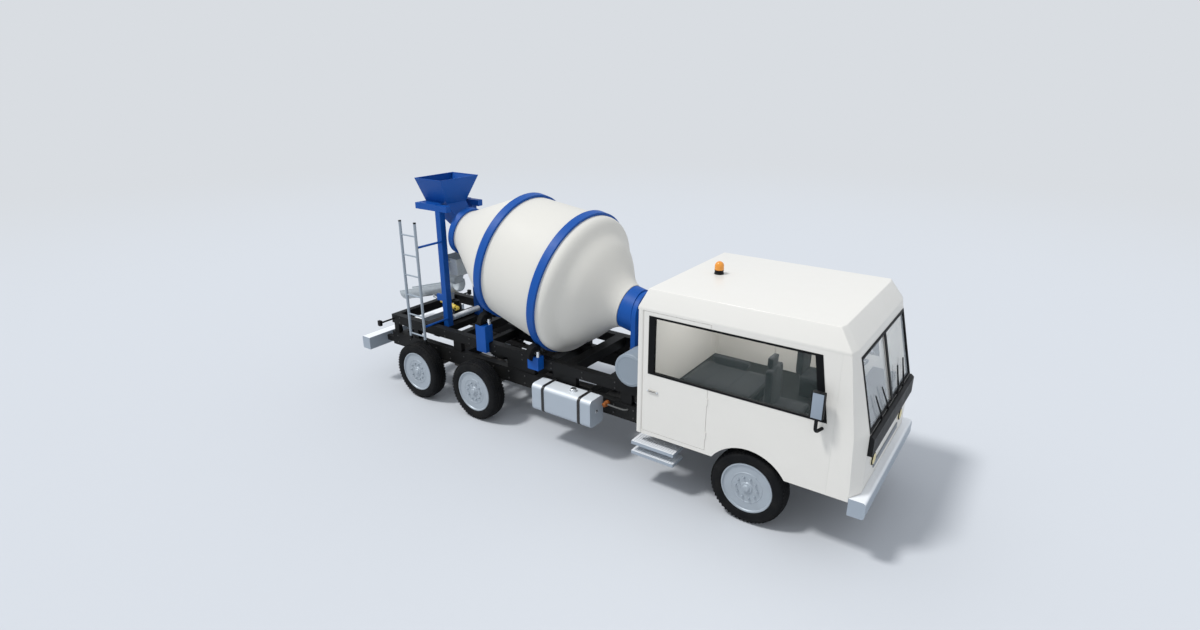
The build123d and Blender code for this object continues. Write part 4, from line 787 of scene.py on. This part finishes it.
def stuffed(name, cushions, seams):
    """Cushions sewn into one piece: blown up as cloth over their foam, then drawn in along the seams."""
    bm = bmesh.new()
    for low, high, crown in cushions:
        pad(bm, low, high, crown)
    bmesh.ops.remove_doubles(bm, verts=bm.verts, dist=1e-5)
    piece = placed(name, bm)
    fine = piece.modifiers.new("weave", "REMESH")
    fine.mode, fine.voxel_size = "VOXEL", 0.011
    mesh = baked(piece)
    before = [v.co.copy() for v in mesh.vertices]
    held = piece.vertex_groups.new(name="held")
    foot = min(p.z for p in before) + 0.02
    held.add([i for i, p in enumerate(before) if p.z < foot], 1.0, "REPLACE")
    cloth = piece.modifiers.new("cover", "CLOTH")
    cloth.settings.use_pressure, cloth.settings.uniform_pressure_force = True, 4.0
    cloth.settings.vertex_group_mass = "held"
    cloth.settings.effector_weights.gravity = 0.0
    cloth.settings.quality = 4
    for step in range(1, 19):
        bpy.context.scene.frame_set(step)
    mesh = baked(piece)
    bpy.context.scene.frame_set(1)
    piece.vertex_groups.clear()
    after = [(v.co.copy(), v.normal.copy()) for v in mesh.vertices]
    shape = []
    for start, (end, normal) in zip(before, after):
        moved = end - start
        if moved.length > SWELL:
            end = start + moved.normalized() * SWELL
        for axis, place in seams:
            end = end - normal * SEAM_DEEP * math.exp(-((end[axis] - place) / SEAM_WIDE) ** 2)
        shape.extend(end)
    mesh.vertices.foreach_set("co", shape)
    mesh.update()
    mesh.shade_smooth()
    mesh.materials.clear()
    mesh.materials.append(cloth_cover)
    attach(piece, "chassis")
    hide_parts("seats")


FLOOR, SWELL, SEAM_DEEP, SEAM_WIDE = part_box("cab_floor")[1].z, 0.009, 0.006, 0.008
for hand, side in SIDES:
    y = sorted((side * 0.385, side * 0.845))
    middle = sum(y) / 2
    stuffed(f"seat_{hand}", [((ahead(0.04), y[0], 1.485), (ahead(0.485), y[1], 1.60), 0.02),
                             ((ahead(-0.015), y[0] + 0.01, 1.59), (ahead(0.075), y[1] - 0.01, 2.11), 0.005),
                             ((ahead(-0.035), y[0] + 0.11, 2.112), (ahead(0.035), y[1] - 0.11, 2.255), 0.005)],
            [(1, middle - 0.13), (1, middle + 0.13)])
    bm = bmesh.new()
    slab(bm, (ahead(0.06), ahead(0.40)), (y[0] + 0.05, y[1] - 0.05), (FLOOR, 1.488))
    finished(f"seat_base_{hand}", bm, black_trim, bevel=0.006, stands_for="seats")
    bm = bmesh.new()
    for across in (-0.06, 0.06):
        bar(bm, [(ahead(0.02), middle + across, 2.09), (ahead(0.0), middle + across, 2.13)], 0.007, 14)
    finished(f"headrest_posts_{hand}", bm, polished, stands_for="seats")
stuffed("couch", [((ahead(-1.44), -0.44, 1.345), (ahead(-0.36), 0.44, 1.47), 0.015),
                  ((ahead(-1.31), 0.345, 1.475), (ahead(-0.71), 0.44, 1.59), 0.01)],
        [(0, ahead(-1.09)), (0, ahead(-0.72))])
bm = bmesh.new()
slab(bm, (ahead(-1.43), ahead(-0.37)), (-0.43, 0.43), (FLOOR, 1.35))
finished("couch_base", bm, black_trim, bevel=0.01, stands_for="seats")

# ------------------------------------------------------------------ drum, rings and drive
# Rolled and welded wear-resistant sheet sprayed white; the rings, drive and stands are the maker's blue.
# White enamel a little duller than the cab's, deep blue enamel that keeps clean, and bare steel inside.
drum_white = sprayed("drum_white_enamel", "d9d6ce", 0.5, soil="9a948a", soiled=0.1, peel=0.06, shine=0.2)
dress(drum_white, "drum")
blue = sprayed("machine_blue_enamel", "084e9f", 0.45, soil="58606a", soiled=0.04, peel=0.08, shine=0.25)
dress(blue, "drum_rings", "drum_supports", "drum_drive", "hopper", "hopper_frame")
# blades scoured by concrete and caked with it in patches of about 100 mm
worn, tree, shader, place = finish_of("concrete_worn_steel", "8d8a84", 0.7, 0.25)
crust = put(tree, "TexNoise", {"Vector": place, "Scale": 9.0, "Detail": 8.0, "Roughness": 0.7})
colour = put(tree, "Mix", {0: crust, 6: linear("6d6a65"), 7: linear("b3aea4")}, data_type="RGBA")
bump = put(tree, "Bump", {"Strength": 0.5, "Distance": 0.006, "Height": crust})
wire(shader, {"Base Color": colour, "Normal": bump})
dress(worn, "mixing_blades")

TILT, DRUM_AT = math.radians(12.16), Vector((ahead(-3.709), 0, 2.464))
AXIS = Vector((-math.cos(TILT), 0, math.sin(TILT)))
FLANGE_AT, FLANGE_BOLTS, BOLT_CIRCLE = -1.1025, 16, 0.315
repeated("drive_flange_bolts", hexagon(0.013, 0.01), True, FLANGE_BOLTS, BOLT_CIRCLE,
         [towards(DRUM_AT + AXIS * FLANGE_AT, -AXIS)], zinc)

# ------------------------------------------------------------------ rollers
# Four steel rollers with a black rubber tread carry the drum's rings. They turn on ground steel pins that
# are set in the stands.
dress(rubber, "roller_front_left", "roller_front_right", "roller_rear_left", "roller_rear_right")
dress(polished, "roller_pins")

# ------------------------------------------------------------------ water tank
# Welded drum of light grey sheet with pressed ends, laid across the frame behind the cab and held down by
# two straps. A filler neck stands on its top.
tank_grey = sprayed("water_tank_grey", "88939d", 0.42, soiled=0.1, peel=0.1)
dress(tank_grey, "water_tank")
low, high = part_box("water_tank")
tank_r = 0.26
mid = Vector((ahead(-2.04), 0, high.z - tank_r))
bm = bmesh.new()
for y in (-0.55, 0.50):
    lathe(bm, [(y, tank_r + 0.0005), (y, tank_r + 0.005), (y + STRAP_WIDE, tank_r + 0.005),
               (y + STRAP_WIDE, tank_r + 0.0005)], mid, (0, 1, 0), 64)
finished("water_tank_straps", bm, strap_black)
# filler neck, and a pressed ring on each end
bm = bmesh.new()
lathe(bm, [(0.255, 0), (0.255, 0.055), (0.272, 0.055), (0.275, 0.045), (0.3, 0.045), (0.305, 0.04), (0.305, 0)],
      mid + Vector((0, -0.3, 0)), (0, 0, 1), 32)
for side in (1, -1):
    lathe(bm, [(0.929, 0.205), (0.934, 0.21), (0.934, 0.222), (0.929, 0.227)], mid, (0, side, 0), 64)
finished("water_tank_fittings", bm, tank_grey, bevel=0.001)

# ------------------------------------------------------------------ hopper and ladder
# Hopper folded from blue sheet, its rim stiffened by a rolled bar. The ladder beside it is welded from
# aluminium tube.
bm = bmesh.new()
BAR_R = 0.009
half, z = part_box("hopper")[1].y - BAR_R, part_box("hopper")[1].z - BAR_R
back, front = ahead(-6.97) + BAR_R, ahead(-6.29) - BAR_R
for y in (-half, half):
    bar(bm, [(back, y, z), (front, y, z)], BAR_R, 12)
for x in (back, front):
    bar(bm, [(x, -half, z), (x, half, z)], BAR_R, 12)
finished("hopper_rim", bm, blue)
# black plastic feet and caps on the ladder's two tubes
bm = bmesh.new()
low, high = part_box("ladder")
for x in (low.x + 0.025, high.x - 0.025):
    y = (low.y + high.y) / 2
    lathe(bm, [(0, 0), (0, 0.029), (0.05, 0.029), (0.055, 0.0255), (0.055, 0)], (x, y, low.z), (0, 0, 1), 24)
    lathe(bm, [(0, 0), (0, 0.0262), (-0.02, 0.0262), (-0.022, 0)], (x, y, high.z + 0.002), (0, 0, 1), 24)
finished("ladder_feet", bm, black_trim)

# ------------------------------------------------------------------ funnel and chute
# Hot-dip galvanised sheet: pale blue-grey with a faint spangle about 20 mm across, dulled inside by dried
# concrete. The trough's two edges are rolled round a bar.
galvanised, tree, shader, place = finish_of("galvanised_sheet", "b4babd", 0.48, 0.25)
spangle = put(tree, "TexVoronoi", {"Vector": place, "Scale": 45.0})
grey = put(tree, "SeparateColor", {0: spangle.outputs["Color"]})
tone = put(tree, "MapRange", {"Value": grey, 3: 0.0, 4: 0.5})
colour = put(tree, "Mix", {0: tone, 6: linear("b3babe"), 7: linear("cdd3d6")}, data_type="RGBA")
crust = put(tree, "TexNoise", {"Vector": place, "Scale": 7.0, "Detail": 7.0, "Roughness": 0.7})
cover = put(tree, "MapRange", {"Value": crust, 1: 0.5, 2: 0.68, 3: 0.0, 4: 0.35})
both = put(tree, "Mix", {0: cover, 6: colour, 7: linear("c4c2bc")}, data_type="RGBA")
rough = put(tree, "MapRange", {"Value": crust, 3: 0.35, 4: 0.6})
wire(shader, {"Base Color": both, "Roughness": rough})
dress(galvanised, "discharge_funnel", "chute")

START, END = Vector((ahead(-6.52), 0, 1.936)), Vector((ahead(-8.086), 0, 1.486))
run = (END - START).normalized()
up = Vector((run.z, 0, -run.x))
bm = bmesh.new()
EDGE_ASIDE, EDGE_UP, EDGE_SHORT, EDGE_R = 0.1605, 0.047, 0.006, 0.0085
for side in (1, -1):
    rim = Vector((0, side * EDGE_ASIDE, 0)) + up * EDGE_UP
    bar(bm, [START + rim + run * EDGE_SHORT, END + rim - run * EDGE_SHORT], EDGE_R, 12)
finished("chute_rims", bm, galvanised, "trough")

# ------------------------------------------------------------------ swivel and lift cylinder
# Black swivel of welded plate below the chute. A hydraulic cylinder sprayed yellow, with a hard-chromed
# rod, lifts the trough.
dress(chassis_black, "chute_swivel")
dress(sprayed("hydraulic_yellow_enamel", "e3c64e", 0.4, soiled=0.1), "chute_cylinder")
dress(chrome, "chute_rod")

# ------------------------------------------------------------------ studio
# Pale seamless floor that runs into a pale background, one large soft key light, an even fill, and a soft
# light under the cab's roof, so that the seats show through the glass.
scene = bpy.context.scene
scene.view_settings.view_transform = "Standard"
BACK = "d9dde2"
mat = bpy.data.materials.new("studio_floor")
mat.use_nodes = True
tree = mat.node_tree
tree.nodes.clear()
place = put(tree, "TexCoord").outputs["Object"]
reach = put(tree, "VectorMath", {0: place}, operation="LENGTH")
fade = put(tree, "MapRange", {"Value": reach, 1: 11.0, 2: 38.0}, interpolation_type="SMOOTHSTEP")
matt = put(tree, "BsdfDiffuse", {"Color": linear("c9ccd0")})
glow = put(tree, "Emission", {"Color": linear(BACK), "Strength": 1.0})
mix = put(tree, "MixShader", {0: fade, 1: matt, 2: glow})
put(tree, "OutputMaterial", {"Surface": mix})
bm = bmesh.new()
bmesh.ops.create_circle(bm, cap_ends=True, radius=120, segments=96)
mesh = bpy.data.meshes.new("studio_floor")
bm.to_mesh(mesh)
bm.free()
floor = bpy.data.objects.new("studio_floor", mesh)
mesh.materials.append(mat)
scene.collection.objects.link(floor)

world = bpy.data.worlds.new("studio_air")
scene.world = world
world.use_nodes = True
tree = world.node_tree
tree.nodes.clear()
path = put(tree, "LightPath").outputs
seen = put(tree, "Math", {0: path["Is Camera Ray"], 1: path["Is Transmission Ray"]}, operation="MAXIMUM")
fill = put(tree, "Background", {"Color": linear("e9eef5"), "Strength": 0.86})
back = put(tree, "Background", {"Color": linear(BACK), "Strength": 1.0})
mix = put(tree, "MixShader", {0: seen, 1: fill, 2: back})
put(tree, "OutputWorld", {0: mix})

panel = bpy.data.lights.new("cab_light", "AREA")
panel.shape, panel.size, panel.size_y, panel.energy = "RECTANGLE", 2.0, 1.7, 44.0
lamp = bpy.data.objects.new("cab_light", panel)
lamp.location = (ahead(-0.25), 0, 2.93)
scene.collection.objects.link(lamp)

sun = bpy.data.lights.new("key_light", "SUN")
sun.energy, sun.angle = 1.95, math.radians(9)
lamp = bpy.data.objects.new("key_light", sun)
lamp.rotation_euler = Vector((0.42, 0.45, -1.0)).to_track_quat("-Z", "Y").to_euler()
scene.collection.objects.link(lamp)

view = bpy.data.cameras.new("camera")
view.lens, view.sensor_width, view.clip_end = 20.25, 36.0, 400
camera = bpy.data.objects.new("camera", view)
camera.location = (ahead(2.8045), -8.6005, 5.7516)
camera.rotation_euler = (math.pi / 2 - 0.3461, 0, 2.1812 - math.pi / 2)
scene.collection.objects.link(camera)
scene.camera = camera
